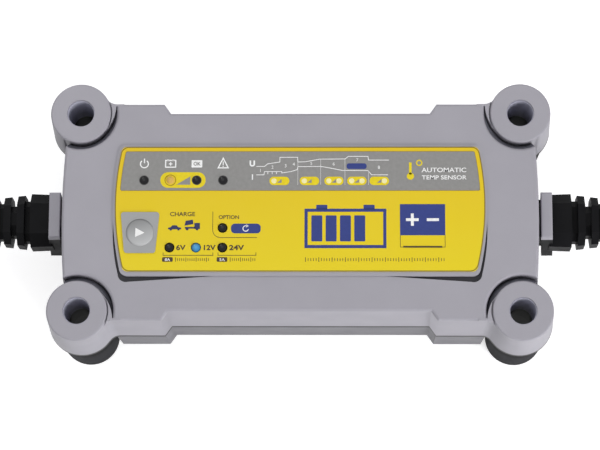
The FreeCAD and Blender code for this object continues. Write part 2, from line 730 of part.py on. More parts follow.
def boot_section(x, width, height):
    """A chamfered section of the boot, square to X."""
    half_y = width / 2
    half_z = height / 2
    cut = BOOT_CHAMFER * height
    points = [
        (half_y, half_z - cut),
        (half_y - cut, half_z),
        (cut - half_y, half_z),
        (-half_y, half_z - cut),
        (-half_y, cut - half_z),
        (cut - half_y, -half_z),
        (half_y - cut, -half_z),
        (half_y, cut - half_z),
    ]
    corners = [V(x, y, GLAND_Z + z) for y, z in points]
    return Part.makePolygon(corners + corners[:1])


def boot_bar(start, end, first, last):
    """A length of the boot between two sections, each a width and a height."""
    return loft([boot_section(start, *first), boot_section(end, *last)])


def boot_flange_x():
    """The outer face of the flange that holds the boot behind the end wall."""
    return BODY_LENGTH / 2 - WALL - 0.25


def boot_end_x():
    return ROOT_OUTER_X + BOOT_HEAD_LENGTH + BOOT_RIBS * BOOT_PITCH + BOOT_NOSE


def root_width(z):
    share = (CAP_TOP_Z - z) / (CAP_TOP_Z - ROOT_BASE_Z)
    return ROOT_TOP_WIDTH + (ROOT_BASE_WIDTH - ROOT_TOP_WIDTH) * share


def root_plan(z, inset=0.0):
    """The root block's plan at one height, set off the drafted end wall by a gap."""
    inner = BODY_LENGTH / 2 + front_grow(z) + ROOT_GAP
    outer = ROOT_OUTER_X + front_grow(z) - front_grow(CAP_TOP_Z)
    half = root_width(z) / 2 - inset
    return polygon([(inner, -half), (outer, -half), (outer, half), (inner, half)], z)


def boot(cord_d):
    """The right boot: flange inside the wall, neck, root block and a segmented tapering sleeve."""
    wall_inner = boot_flange_x()
    flange = block(
        (wall_inner - BOOT_FLANGE, -NECK_WIDTH / 2 - BOOT_FLANGE, GLAND_Z - NECK_HEIGHT / 2 - BOOT_FLANGE),
        (wall_inner, NECK_WIDTH / 2 + BOOT_FLANGE, GLAND_Z + NECK_HEIGHT / 2 + BOOT_FLANGE),
    )
    neck = block(
        (wall_inner - 1, -NECK_WIDTH / 2, GLAND_Z - NECK_HEIGHT / 2),
        (ROOT_OUTER_X - 0.5, NECK_WIDTH / 2, GLAND_Z + NECK_HEIGHT / 2),
    )
    root = loft([root_plan(ROOT_BASE_Z), root_plan(CAP_TOP_Z - CAP_THICK)])
    head_end = ROOT_OUTER_X + BOOT_HEAD_LENGTH
    head = boot_bar(
        ROOT_OUTER_X - 0.5, head_end, (BOOT_WIDTH * 0.97, BOOT_HEIGHT * 0.97), (BOOT_WIDTH, BOOT_HEIGHT)
    )
    pieces = [neck, flange, root, head]
    for i in range(BOOT_RIBS):
        start = head_end + i * BOOT_PITCH
        size = 1 - BOOT_TAPER * (i + 1)
        after = size - BOOT_TAPER / 2
        wide = i % 2 == 0
        core = (BOOT_WIDTH * size * (0.80 if wide else 0.62), BOOT_HEIGHT * size * (0.62 if wide else 0.84))
        pieces.append(boot_bar(start - 0.5, start + BOOT_GAP + 0.5, core, core))
        rib_end = start + BOOT_PITCH
        rib = (BOOT_WIDTH * size, BOOT_HEIGHT * size)
        pieces.append(boot_bar(start + BOOT_GAP, rib_end, rib, (BOOT_WIDTH * after, BOOT_HEIGHT * after)))
    nose_x = head_end + BOOT_RIBS * BOOT_PITCH
    nose = BOOT_WIDTH * (1 - BOOT_TAPER * BOOT_RIBS) * 0.8
    tip = cord_d + 3.0
    pieces.append(boot_bar(nose_x - 0.5, boot_end_x(), (nose, nose), (tip, tip)))
    return join(pieces)


def gland_cap():
    """The grey cap that covers the right root block."""
    cap = loft([root_plan(CAP_TOP_Z - CAP_THICK), root_plan(CAP_TOP_Z)])
    return cap.makeFillet(0.6, edges_at(cap, CAP_TOP_Z))


# Leads


def corner_arc(before, corner, after):
    """The arc that touches two equal legs of a corner."""
    leg = (before - corner).Length
    towards = (before - corner).normalize() + (after - corner).normalize()
    half_angle = (corner - before).getAngle(after - corner) / 2
    reach = leg * math.tan(half_angle / 2)
    return arc(before, corner + towards.normalize() * reach, after)


def route_edges(points, name):
    """Straight runs joined by tangent arcs, as large as the runs allow."""
    corners = [V(*p) for p in points]
    edges = []
    radii = []
    at = corners[0]
    for before, corner, after in zip(corners, corners[1:], corners[2:]):
        leg = 0.45 * min((corner - before).Length, (after - corner).Length)
        start = corner + (before - corner).normalize() * leg
        end = corner + (after - corner).normalize() * leg
        half_angle = (corner - before).getAngle(after - corner) / 2
        radii.append(leg / math.tan(half_angle))
        edges += [line(at, start), corner_arc(start, corner, end)]
        at = end
    edges.append(line(at, corners[-1]))
    print(f"{name} bend radii: " + " ".join(f"{r:.0f}" for r in radii))
    return edges


def swept(edges, diameter, name):
    """A round tube along a path, with its volume compared with section times length."""
    path = Part.Wire(edges)
    first = edges[0]
    start = first.valueAt(first.FirstParameter)
    heading = first.tangentAt(first.FirstParameter)
    profile = Part.Wire(Part.makeCircle(diameter / 2, start, heading))
    solid = path.makePipeShell([profile], True, False)
    expected = math.pi * diameter**2 / 4 * path.Length
    print(f"{name}: length {path.Length:.0f} volume ratio {solid.Volume / expected:.4f}")
    return solid


def coil_path(start, heading, turning, diameter):
    """Two piled layers of loops from a start point: in along the floor, up one layer, then out again.

    turning is 1 for loops that run counter-clockwise seen from above and -1 for clockwise. Beside the path
    come its end, its centre and the radii of the ring that it fills where the ties go.
    """
    pitch = diameter + COIL_GAP
    layer_turns = COIL_HALF_TURNS // 2
    inner_r = COIL_INNER_DIAMETERS * diameter
    outer_r = inner_r + layer_turns * pitch / 2
    across = V(-heading.y, heading.x, 0) * turning
    entry = start + heading * diameter
    centre = entry + across * outer_r
    stops = []
    for k in range(COIL_HALF_TURNS + 1):
        upper = k > layer_turns
        steps_in = COIL_HALF_TURNS - k if k > layer_turns + 1 else k
        radius = outer_r - steps_in * pitch / 2
        side = -1 if k % 2 == 0 else 1
        stops.append(centre + across * (side * radius) + V(0, 0, pitch if upper else 0))
    edges = [line(start, entry)]
    way = heading
    for here, there in zip(stops, stops[1:]):
        leg = (there - here).Length / 2
        first = here + way * leg
        second = there + way * leg
        middle = (first + second) * 0.5
        edges += [corner_arc(here, first, middle), corner_arc(middle, second, there)]
        way = way * -1
    end = stops[-1] + way * diameter
    edges.append(line(stops[-1], end))
    inside = inner_r - pitch / 4 - diameter / 2
    return edges, end, centre, inside, outer_r - pitch / 4 + diameter / 2


def least_gap(edges, diameter, name):
    """The smallest clear distance between different turns, measured on points along the path."""
    points = []
    for edge in edges:
        points += edge.discretize(Number=13)[:-1]
    per_turn = 4 * 12
    total = len(points)
    pairs = [(i, j) for i in range(total) for j in range(i + per_turn // 2, total)]
    least = min((points[i] - points[j]).Length for i, j in pairs)
    print(f"{name}: least gap between turns {least - diameter:.2f}")


# Each route leaves the boot's end. Its x runs away from the housing, and its z is a height over the floor.
MAINS_ROUTE = [(22, 0, 42), (45.5, -12, 31), (52, -36.3, 12.3), (72, -50, 4.15), (97, -50, 4.15)]
OUTPUT_ROUTE = [(23, 0, 42), (46, -12.5, 32), (53.4, -38.3, 12.8), (74.4, -52, 4.4), (99, -52, 4.4)]
# Each tail leaves its coil's top loop. Its x and y run on from there, and its z is a height over the floor.
MAINS_TAIL = [(-14, 0, 11.25), (-34, -4, 6.8), (-50, -4, 6.8)]
OUTPUT_TAIL = [(-14, 0, 12.0), (-34, -4, 6.0), (-50, -4, 6.0)]


def coil_tie(side, centre, inside, outside, pitch, top_z):
    """A flat strap round one side of a coil, clear of its curved loops."""
    reach = TIE_WIDTH / 2 + pitch / 4
    inner_face = math.sqrt(inside**2 - reach**2) - TIE_CLEARANCE
    outer_face = outside + TIE_CLEARANCE
    x_low, x_high = sorted((centre.x + side * inner_face, centre.x + side * outer_face))
    y_low = centre.y - TIE_WIDTH / 2
    y_high = centre.y + TIE_WIDTH / 2
    wall = TIE_THICK
    band = block((x_low - wall, y_low, 0), (x_high + wall, y_high, top_z + wall))
    lengthwise = [edge for edge in band.Edges if abs(edge.tangentAt(edge.FirstParameter).y) > 0.9]
    band = band.makeFillet(wall * 1.5, lengthwise)
    room = block((x_low, y_low - 1, wall), (x_high, y_high + 1, top_z))
    along = [edge for edge in room.Edges if abs(edge.tangentAt(edge.FirstParameter).y) > 0.9]
    return band.cut(room.makeFillet(wall, along))


def plug_section(x, width, height, z):
    """A chamfered section square to X, for the plug and the connector."""
    half_y = width / 2
    half_z = height / 2
    cut = min(half_y, half_z) * 0.45
    points = [
        (half_y, half_z - cut),
        (half_y - cut, half_z),
        (cut - half_y, half_z),
        (-half_y, half_z - cut),
        (-half_y, cut - half_z),
        (cut - half_y, -half_z),
        (half_y - cut, -half_z),
        (half_y, cut - half_z),
    ]
    corners = [V(x, y, z + dz) for y, dz in points]
    return Part.makePolygon(corners + corners[:1])


def plug_body():
    """A flat two-pin mains plug along +X, its cable end at the origin and its middle at the pins' height."""
    length = PLUG_LENGTH
    sections = [(0, PLUG_NECK, PLUG_NECK), (length * 0.3, PLUG_NECK + 2.5, PLUG_NECK + 1)]
    sections.append((length * 0.5, PLUG_WIDTH * 0.74, PLUG_HEIGHT * 0.92))
    sections += [(length * 0.72, PLUG_WIDTH, PLUG_HEIGHT), (length, PLUG_WIDTH, PLUG_HEIGHT)]
    body = loft([plug_section(x, width, height, 0) for x, width, height in sections])
    holes = [rod(PLUG_PIN_R + 0.05, (length - PLUG_PIN_DEPTH, y, 0), 9, X_AXIS) for y in plug_pin_rows()]
    return body.cut(holes)


def plug_pin_rows():
    return [-PLUG_PIN_PITCH / 2, PLUG_PIN_PITCH / 2]


def plug_pins():
    pins = []
    for y in plug_pin_rows():
        start = (PLUG_LENGTH - PLUG_PIN_DEPTH, y, 0)
        pin = rod(PLUG_PIN_R, start, PLUG_PIN_DEPTH + PLUG_PIN_LENGTH, X_AXIS)
        tip = [edge for edge in pin.Edges if edge.CenterOfMass.x > PLUG_LENGTH + PLUG_PIN_LENGTH - 0.1]
        pins.append(pin.makeFillet(PLUG_PIN_R * 0.6, tip))
    return Part.makeCompound(pins)


def connector_body():
    """A two-way lead connector along +X: one bare pin and one covered socket."""
    length = CONNECTOR_LENGTH
    sections = [(0, CONNECTOR_NECK, CONNECTOR_NECK), (length * 0.35, CONNECTOR_NECK + 3, CONNECTOR_NECK + 1)]
    sections += [(place, CONNECTOR_WIDTH, CONNECTOR_HEIGHT) for place in (length * 0.6, length)]
    body = loft([plug_section(x, width, height, 0) for x, width, height in sections])
    cover = rod(SOCKET_R, (length - 1, CONTACT_PITCH / 2, 0), CONTACT_LENGTH + 1, X_AXIS)
    ribs = []
    for i in range(2):
        place = (length + 3 + i * 3.5, CONTACT_PITCH / 2, 0)
        ribs.append(tube(SOCKET_R + 0.5, SOCKET_R - 0.5, place, 1.2, X_AXIS))
    body = join([body, cover] + ribs)
    pin_hole = rod(CONTACT_R + 0.05, (length - 8, -CONTACT_PITCH / 2, 0), 9, X_AXIS)
    socket_hole = rod(CONTACT_R + 0.85, (length - 8, CONTACT_PITCH / 2, 0), CONTACT_LENGTH + 9, X_AXIS)
    return body.cut([pin_hole, socket_hole])


def connector_contacts():
    length = CONNECTOR_LENGTH
    pin = rod(CONTACT_R, (length - 8, -CONTACT_PITCH / 2, 0), CONTACT_LENGTH + 8, X_AXIS)
    tip = [edge for edge in pin.Edges if edge.CenterOfMass.x > length + CONTACT_LENGTH - 0.1]
    pin = pin.makeFillet(CONTACT_R * 0.5, tip)
    socket = tube(CONTACT_R + 0.8, CONTACT_R, (length - 8, CONTACT_PITCH / 2, 0), CONTACT_LENGTH + 7, X_AXIS)
    return Part.makeCompound([pin, socket])


def lead(side, route, tail, diameter, name):
    """One lead: its free stretches as one node, its coil, its ties, and where its far end lies."""
    start_x = side * boot_end_x()
    points = [(start_x, 0.0, GLAND_Z)] + [(start_x + side * x, y, z) for x, y, z in route]
    end = V(*points[-1])
    heading = V(side, 0, 0)
    coil_edges, coil_end, centre, inside, outside = coil_path(end, heading, side, diameter)
    least_gap(coil_edges, diameter, name + "_coil")
    tail_points = [(coil_end.x, coil_end.y, coil_end.z)]
    tail_points += [(coil_end.x + side * x, coil_end.y + y, z) for x, y, z in tail]
    stretches = [
        swept(route_edges(points, name + "_lead"), diameter, name + "_lead"),
        swept(route_edges(tail_points, name + "_tail"), diameter, name + "_tail"),
    ]
    save(name + "_lead", Part.makeCompound(stretches))
    save(name + "_coil", swept(coil_edges, diameter, name + "_coil"))
    top_z = coil_end.z + diameter / 2 + TIE_CLEARANCE
    pitch = diameter + COIL_GAP
    ties = [coil_tie(way, centre, inside, outside, pitch, top_z) for way in (-1, 1)]
    save(name + "_ties", Part.makeCompound(ties))
    return V(*tail_points[-1])


def at_lead_end(shape, place, side):
    """Turns a piece made along +X so that it points back towards the housing from the lead's end."""
    moved = shape.copy()
    if side > 0:
        moved = mirrored(moved, X_AXIS)
    moved.translate(place)
    return moved


def report_tip(name, place, side, length):
    print(f"end of {name}: {place.x - side * length:.2f} {place.y:.2f} {place.z:.2f}")


# Main board


def board_point(share_x, share_y):
    """A place on the main board, as shares of its half length and half width."""
    return share_x * MAIN_BOARD_LENGTH / 2, share_y * MAIN_BOARD_WIDTH / 2


def main_board():
    board = centred_block(0, 0, MAIN_BOARD_Z, MAIN_BOARD_LENGTH, MAIN_BOARD_WIDTH, BOARD_THICK)
    hole_r = BOARD_SCREW_R + 0.15
    return board.cut([rod(hole_r, (x, y, MAIN_BOARD_Z - 1), 4) for x, y in board_screw_places()])


def on_board(share_x, share_y, length, width, height):
    x, y = board_point(share_x, share_y)
    return centred_block(x, y, MAIN_TOP_Z, length, width, height)


def can(share_x, share_y, radius, height):
    """A capacitor can with a rounded rim."""
    x, y = board_point(share_x, share_y)
    body = rod(radius, (x, y, MAIN_TOP_Z), height)
    return body.makeFillet(1.0, edges_at(body, MAIN_TOP_Z + height))


FUSE_LENGTH = 20.0
FUSE_GLASS_R = 2.5
FUSE_CAP_R = 3.2
FUSE_CAP_LENGTH = 5.0


def mains_fuse():
    """A glass tube fuse that lies between two end caps."""
    x, y = board_point(-0.86, -0.28)
    z = MAIN_TOP_Z + FUSE_CAP_R
    half = FUSE_LENGTH / 2
    body = rod(FUSE_GLASS_R, (x, y - half + 1, z), FUSE_LENGTH - 2, Y_AXIS)
    feet = (-half, half - FUSE_CAP_LENGTH)
    caps = [rod(FUSE_CAP_R, (x, y + foot, z), FUSE_CAP_LENGTH, Y_AXIS) for foot in feet]
    return join([body] + caps)


def mains_choke():
    """A wound ring core that lies on the board."""
    x, y = board_point(-0.62, -0.42)
    return Part.makeTorus(8.0, 4.2, V(x, y, MAIN_TOP_Z + 4.2))


CORE_LENGTH = 38.0
CORE_WIDTH = 13.0
CORE_HEIGHT = 31.0
CORE_LEG = 6.0
WINDING_CLEARANCE = 0.3
TRANSFORMER_SHARE = (0.14, 0.14)


def core_window():
    """The length and height of each of the core's two windows."""
    return (CORE_LENGTH - 4 * CORE_LEG) / 2, CORE_HEIGHT - 2 * CORE_LEG


def transformer_core():
    x, y = board_point(*TRANSFORMER_SHARE)
    core = on_board(*TRANSFORMER_SHARE, CORE_LENGTH, CORE_WIDTH, CORE_HEIGHT)
    length, height = core_window()
    offset = CORE_LEG + length / 2
    deep = CORE_WIDTH + 2
    sill = MAIN_TOP_Z + CORE_LEG
    return core.cut([centred_block(x + way * offset, y, sill, length, deep, height) for way in (-1, 1)])


def transformer_winding():
    """The coil on the core's middle leg, which bulges out at the open sides."""
    x, y = board_point(*TRANSFORMER_SHARE)
    length, height = core_window()
    gap = WINDING_CLEARANCE
    outer_length = 2 * CORE_LEG + 2 * length - 2 * gap
    z = MAIN_TOP_Z + CORE_LEG + gap
    tall = height - 2 * gap
    coil = centred_block(x, y, z, outer_length, CORE_WIDTH + 2 * length, tall)
    upright = [edge for edge in coil.Edges if abs(edge.tangentAt(edge.FirstParameter).z) > 0.9]
    coil = coil.makeFillet(length * 0.8, upright)
    return coil.cut(centred_block(x, y, z - 1, 2 * (CORE_LEG + gap), CORE_WIDTH + 2 * gap, tall + 2))


HEATSINK_THICK = 2.4
FIN_PITCH = 6.0
FIN_THICK = 1.3
FIN_DEPTH = 7.0
SINK_HEIGHT = 27.0
SINK_SHARE_Y = -0.78
PRIMARY_SINK_SHARE = -0.16
PRIMARY_FINS = 5
OUTPUT_SINK_SHARE = 0.60
OUTPUT_FINS = 7


def heatsink(share_x, fins):
    """An upright finned plate at the board's front edge, its fins outwards."""
    x, y = board_point(share_x, SINK_SHARE_Y)
    length = (fins - 1) * FIN_PITCH + FIN_THICK
    plate = centred_block(x, y, MAIN_TOP_Z, length, HEATSINK_THICK, SINK_HEIGHT)
    start = x - length / 2 + FIN_THICK / 2
    rows = [start + i * FIN_PITCH for i in range(fins)]
    fin_y = y - HEATSINK_THICK / 2 - FIN_DEPTH / 2 + 0.5
    deep = FIN_DEPTH + 1
    blades = [centred_block(fin_x, fin_y, MAIN_TOP_Z, FIN_THICK, deep, SINK_HEIGHT) for fin_x in rows]
    return join([plate] + blades)


TRANSISTOR_SIZE = (10.2, 4.5, 15.5)
TRANSISTOR_PITCH = 13.0
TRANSISTOR_LIFT = 4.0
LEG_PITCH = 2.54
LEG_WIDTH = 0.9
LEG_THICK = 0.6


def transistors(share_x, count):
    """Flat power parts that bear on the inner face of a heatsink."""
    x, y = board_point(share_x, SINK_SHARE_Y)
    width, depth, height = TRANSISTOR_SIZE
    face = y + HEATSINK_THICK / 2 + depth / 2
    places = [x + (i - (count - 1) / 2) * TRANSISTOR_PITCH for i in range(count)]
    bodies = []
    for place in places:
        body = centred_block(place, face, MAIN_TOP_Z + TRANSISTOR_LIFT, width, depth, height)
        legs = []
        for way in (-1, 0, 1):
            leg_x = place + way * LEG_PITCH
            legs.append(centred_block(leg_x, face, MAIN_TOP_Z, LEG_WIDTH, LEG_THICK, TRANSISTOR_LIFT + 0.5))
        bodies.append(join([body] + legs))
    return Part.makeCompound(bodies)


BULK_CAN_R = 11.0
BULK_CAN_HEIGHT = 30.0
OUTPUT_CAN_R = 5.2
OUTPUT_CAN_HEIGHT = 24.0
OUTPUT_CAN_GAP = 0.85


def output_capacitors():
    """Three cans in a row beside the output leads' place."""
    pitch = (2 * OUTPUT_CAN_R + OUTPUT_CAN_GAP) / (MAIN_BOARD_LENGTH / 2)
    shares = [0.67 + way * pitch for way in (-1, 0, 1)]
    return Part.makeCompound([can(share, 0.52, OUTPUT_CAN_R, OUTPUT_CAN_HEIGHT) for share in shares])


def control_chips():
    places = [(0.36, -0.36, 11, 8), (0.52, -0.36, 6, 6), (-0.36, -0.05, 9, 6)]
    return Part.makeCompound([on_board(sx, sy, length, width, 1.4) for sx, sy, length, width in places])


def temperature_sensor():
    """A bead on its two wires beside the output heatsink."""
    x, y = board_point(0.90, -0.62)
    bead = Part.makeSphere(1.6, V(x, y, MAIN_TOP_Z + 6))
    legs = [rod(0.35, (x + way * 0.8, y, MAIN_TOP_Z), 6) for way in (-1, 1)]
    return join([bead] + legs)


# Length, width and height of three box-shaped parts
FILTER_SIZE = (18.0, 9.0, 15.0)
BRIDGE_SIZE = (16.0, 5.0, 15.0)
RELAY_SIZE = (19.0, 15.5, 15.5)

RIBBON_INSET = 2.5
RIBBON_WIDTH = 12.0
RIBBON_THICK = 1.0
HEADER_HEIGHT = 7.5
HEADER_THICK = 5.0
HEADER_SHARE = (-0.187, -0.254)
RIBBON_X = DISPLAY_BOARD_X + DISPLAY_BOARD_LENGTH / 2 - RIBBON_INSET


def ribbon_header():
    return on_board(*HEADER_SHARE, HEADER_THICK, RIBBON_WIDTH + 3, HEADER_HEIGHT)


def ribbon_cable():
    """A flat cable from the header up to the display board's underside."""
    header_x, middle_y = board_point(*HEADER_SHARE)
    low = MAIN_TOP_Z + HEADER_HEIGHT
    high = DISPLAY_TOP_Z - BOARD_THICK
    line_x = [(header_x, low), (header_x, low + 4), (RIBBON_X, high - 9), (RIBBON_X, high)]
    half = RIBBON_THICK / 2
    side = [(x - half, z) for x, z in line_x] + [(x + half, z) for x, z in reversed(line_x)]
    corners = [V(x, middle_y - RIBBON_WIDTH / 2, z) for x, z in side]
    return Part.Face(Part.makePolygon(corners + corners[:1])).extrude(V(0, RIBBON_WIDTH, 0))


WIRE_D = 2.0
WIRE_SPREAD = 3.0
WIRE_INSET = 3.0


def inner_wires(side, name):
    """The lead's two conductors, from the boot's flange down to the main board."""
    start_x = boot_flange_x() - BOOT_FLANGE
    board_x = MAIN_BOARD_LENGTH / 2 - WIRE_INSET
    wires = []
    for y in (-WIRE_SPREAD, WIRE_SPREAD):
        points = [(start_x, y, GLAND_Z), (start_x - 8.5, y, GLAND_Z), (board_x + 4.0, y, GLAND_Z - 8.5)]
        points += [(board_x, y, (GLAND_Z + MAIN_TOP_Z) / 2 - 4.0), (board_x, y, MAIN_TOP_Z)]
        wires.append(swept(route_edges([(side * x, wy, z) for x, wy, z in points], name), WIRE_D, name))
    return Part.makeCompound(wires)


def build():
    os.makedirs("parts", exist_ok=True)
    save("front_housing", front_housing())
    save("rear_housing", rear_housing())
    save("housing_seal", housing_seal())
    for corner, (sx, sy) in CORNERS.items():
        save("bumper_" + corner, to_corner(bumper(sy > 0), sx, sy))
    save("housing_screws", housing_screws())
    save("front_label", front_label())
    save("panel_seal", panel_seal())
    save("button_bezel", button_bezel())
    save("mode_button", mode_button())
    save("switch_plunger", switch_plunger())
    save("mode_switch", mode_switch())
    save("display_board", display_board())
    save("display_screws", display_screws())
    save("board_screws", board_screws())
    lamps = {name: lamp(x, y) for name, (x, y) in lamp_places().items()}
    save("voltage_lamp_lit", lamps.pop("twelve_volts"))
    save("charge_lamp", lamps.pop("charge"))
    save("status_lamps", Part.makeCompound(list(lamps.values())))
    save("output_boot", boot(OUTPUT_D))
    save("mains_boot", mirrored(boot(MAINS_D), X_AXIS))
    save("output_gland_cap", gland_cap())
    save("mains_gland_cap", mirrored(gland_cap(), X_AXIS))
    mains_end = lead(-1, MAINS_ROUTE, MAINS_TAIL, MAINS_D, "mains")
    save("plug_body", at_lead_end(plug_body(), mains_end, -1))
    save("plug_pins", at_lead_end(plug_pins(), mains_end, -1))
    report_tip("mains_plug", mains_end, -1, PLUG_LENGTH)
    output_end = lead(1, OUTPUT_ROUTE, OUTPUT_TAIL, OUTPUT_D, "output")
    save("connector_body", at_lead_end(connector_body(), output_end, 1))
    save("connector_contacts", at_lead_end(connector_contacts(), output_end, 1))
    report_tip("output_connector", output_end, 1, CONNECTOR_LENGTH)
    save("main_board", main_board())
    save("mains_fuse", mains_fuse())
    save("filter_capacitor", on_board(-0.76, 0.45, *FILTER_SIZE))
    save("mains_choke", mains_choke())
    save("bridge_rectifier", on_board(-0.57, 0.78, *BRIDGE_SIZE))
    save("bulk_capacitor", can(-0.27, 0.48, BULK_CAN_R, BULK_CAN_HEIGHT))
    save("transformer_core", transformer_core())
    save("transformer_winding", transformer_winding())
    save("primary_heatsink", heatsink(PRIMARY_SINK_SHARE, PRIMARY_FINS))
    save("primary_transistors", transistors(PRIMARY_SINK_SHARE, 2))
    save("output_heatsink", heatsink(OUTPUT_SINK_SHARE, OUTPUT_FINS))
    save("output_transistors", transistors(OUTPUT_SINK_SHARE, 3))
    save("output_capacitors", output_capacitors())
    save("output_relay", on_board(0.72, -0.08, *RELAY_SIZE))
    save("control_chips", control_chips())
    save("temperature_sensor", temperature_sensor())
    save("ribbon_header", ribbon_header())
    save("ribbon_cable", ribbon_cable())
    save("mains_wires", inner_wires(-1, "mains_wires"))
    save("output_wires", inner_wires(1, "output_wires"))


build()
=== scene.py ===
"""Car battery charger: finishes, printed panel, lamps, leads and studio, on top of the loaded frame."""

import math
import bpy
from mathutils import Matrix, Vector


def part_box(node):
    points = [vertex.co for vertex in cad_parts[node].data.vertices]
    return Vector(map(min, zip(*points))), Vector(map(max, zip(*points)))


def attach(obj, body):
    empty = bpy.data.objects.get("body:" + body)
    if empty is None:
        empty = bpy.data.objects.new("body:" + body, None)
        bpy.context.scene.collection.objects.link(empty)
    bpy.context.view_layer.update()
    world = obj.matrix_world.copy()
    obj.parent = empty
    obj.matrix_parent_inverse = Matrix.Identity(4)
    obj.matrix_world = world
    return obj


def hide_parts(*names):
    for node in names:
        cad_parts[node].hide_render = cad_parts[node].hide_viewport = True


bl_info = {
    "name": "Battery Charger Builder",
    "version": (1, 0, 0),
    "blender": (4, 5, 0),
    "location": "View3D > Sidebar > Charger",
    "description": "Dresses a battery charger: finishes, printed panel, lamps, leads and a studio",
    "category": "Add Mesh",
}

import bmesh
import bpy
from bpy.props import FloatProperty, FloatVectorProperty, IntProperty, PointerProperty
from bpy.types import Operator, Panel, PropertyGroup
from mathutils import Matrix, Vector

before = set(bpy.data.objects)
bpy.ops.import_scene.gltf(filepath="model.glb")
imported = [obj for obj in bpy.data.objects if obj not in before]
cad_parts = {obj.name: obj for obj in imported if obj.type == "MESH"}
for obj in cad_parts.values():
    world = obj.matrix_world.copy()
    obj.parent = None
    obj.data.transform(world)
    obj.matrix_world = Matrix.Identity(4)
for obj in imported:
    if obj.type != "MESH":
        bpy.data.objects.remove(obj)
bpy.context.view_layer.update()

MM = 0.001
CHARGER_BODY = "charger"
KEY_BODY = "mode_key"
LABEL_LOW, LABEL_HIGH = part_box("front_label")
LABEL_TOP = LABEL_HIGH[2]
JOINT_Z = 37.0 * MM
EAR_X = 92.0 * MM
EAR_Y = 42.0 * MM
BORE_RADIUS = 5.5 * MM
KEY_RADIUS = 6.0 * MM


# Sizes and colours that a user would change


def colour(name, description, *channels):
    return FloatVectorProperty(
        name=name, description=description, subtype="COLOR", size=3, min=0.0, max=1.0, default=channels
    )


def length(name, description, default):
    return FloatProperty(
        name=name, description=description, subtype="DISTANCE", unit="LENGTH", default=default, min=0.0
    )


def angle(name, description, degrees):
    return FloatProperty(
        name=name, description=description, subtype="ANGLE", unit="ROTATION", default=math.radians(degrees)
    )


def number(name, description, default):
    return FloatProperty(name=name, description=description, default=default, min=0.0)


class ChargerFinish(PropertyGroup):
    """Colours of the charger's surfaces, in linear light."""

    housing: colour("Housing", "Front shell and cable caps", 0.322, 0.312, 0.352)
    # Painted shade: the rear shell's grey is darker than the housing grey.
    lower_shell: colour("Lower shell", "Rear shell under the parting line", 0.152, 0.148, 0.168)
    rubber: colour("Corner rubber", "Feet, sleeves and crescents", 0.016, 0.016, 0.019)
    sheath: colour("Lead sheath", "Leads, boots and plugs", 0.007, 0.007, 0.008)
    panel_high: colour("Panel yellow, top", "Upper edge of the yellow field", 0.720, 0.500, 0.008)
    panel_low: colour("Panel yellow, bottom", "Lower edge of the yellow field", 0.745, 0.590, 0.009)
    band_grey: colour("Panel grey", "Field behind the status row", 0.252, 0.249, 0.244)
    ink_blue: colour("Blue ink", "Dark blue print", 0.026, 0.043, 0.203)
    ink_dark: colour("Dark ink", "Fine brown black print", 0.060, 0.040, 0.020)
    ink_white: colour("White ink", "Symbols on the grey field", 0.850, 0.850, 0.850)
    key_grey: colour("Key grey", "Mode key and its frame", 0.316, 0.320, 0.325)
    lit_lamp: colour("Lit lamp", "Body colour of the lamp that is on", 0.020, 0.130, 0.300)
    amber_lamp: colour("Amber lamp", "Resin of the charging lamp", 0.640, 0.400, 0.090)


class ChargerPrint(PropertyGroup):
    """Sizes of the printed work on the panel."""

    ink_height: length("Ink height", "How far the print stands off the film", 0.05 * MM)
    border_gap: length("Border gap", "From the film's edge to the grey field", 2.0 * MM)
    outline_width: length("Outline width", "Stroke of the dark line at the film's edge", 0.42 * MM)
    curve_width: length("Curve width", "Stroke of the charging curves", 0.26 * MM)
    symbol_width: length("Symbol width", "Stroke of the white symbols", 0.48 * MM)


class ChargerLeads(PropertyGroup):
    """Sizes of the two leads and of their coils."""

    mains_diameter: length("Mains lead", "Diameter of the mains lead", 6.5 * MM)
    output_diameter: length("Output lead", "Diameter of the output lead", 7.0 * MM)
    coil_gap: length("Coil gap", "Clear gap between two turns of a coil", 0.6 * MM)
    half_turns: IntProperty(name="Half turns", description="Half turns in each coil", default=11, min=3)
    inner_diameters: number("Inner radius", "Radius of the tightest loop, in lead diameters", 4.4)


class ChargerStudio(PropertyGroup):
    """The camera and the lights."""

    azimuth: angle("Azimuth", "Turn of the view about the vertical", 4.76)
    elevation: angle("Elevation", "Height of the view over the panel", 77.6)
    roll: angle("Roll", "Turn of the picture about the view", -4.65)
    distance: length("Distance", "From the camera to the panel", 1.025)
    lens: number("Lens", "Focal length in millimetres", 148.38)
    ambient: number("Ambient", "Strength of the even light", 0.48)
    key_power: number("Key light", "Power of the soft front light, in watts", 14.2)
    highlight_power: number("Highlights", "Power of the small front light, in watts", 0.5)
    fill_power: number("Fill light", "Power of the top light, in watts", 3.8)
    back_power: number("Back light", "Power of the back light, in watts", 2.5)


class ChargerSettings(PropertyGroup):
    """All that the operators read."""

    finish: PointerProperty(type=ChargerFinish)
    print: PointerProperty(type=ChargerPrint)
    leads: PointerProperty(type=ChargerLeads)
    studio: PointerProperty(type=ChargerStudio)


def settings():
    return bpy.context.scene.charger


# Materials

# Noise values seldom leave this range, so colours and roughnesses are spread over it
NOISE_LOW = 0.3
NOISE_HIGH = 0.7


def parts_of(material):
    """A material's node tree and its shader."""
    tree = material.node_tree
    return tree, tree.nodes["Principled BSDF"]


def new_material(name, base, roughness, metallic=0.0, specular=0.5):
    """A Principled material of one colour."""
    material = bpy.data.materials.new(name)
    material.use_nodes = True
    shader = parts_of(material)[1]
    shader.inputs["Base Color"].default_value = (*base, 1.0)
    shader.inputs["Roughness"].default_value = roughness
    shader.inputs["Metallic"].default_value = metallic
    shader.inputs["Specular IOR Level"].default_value = specular
    return material


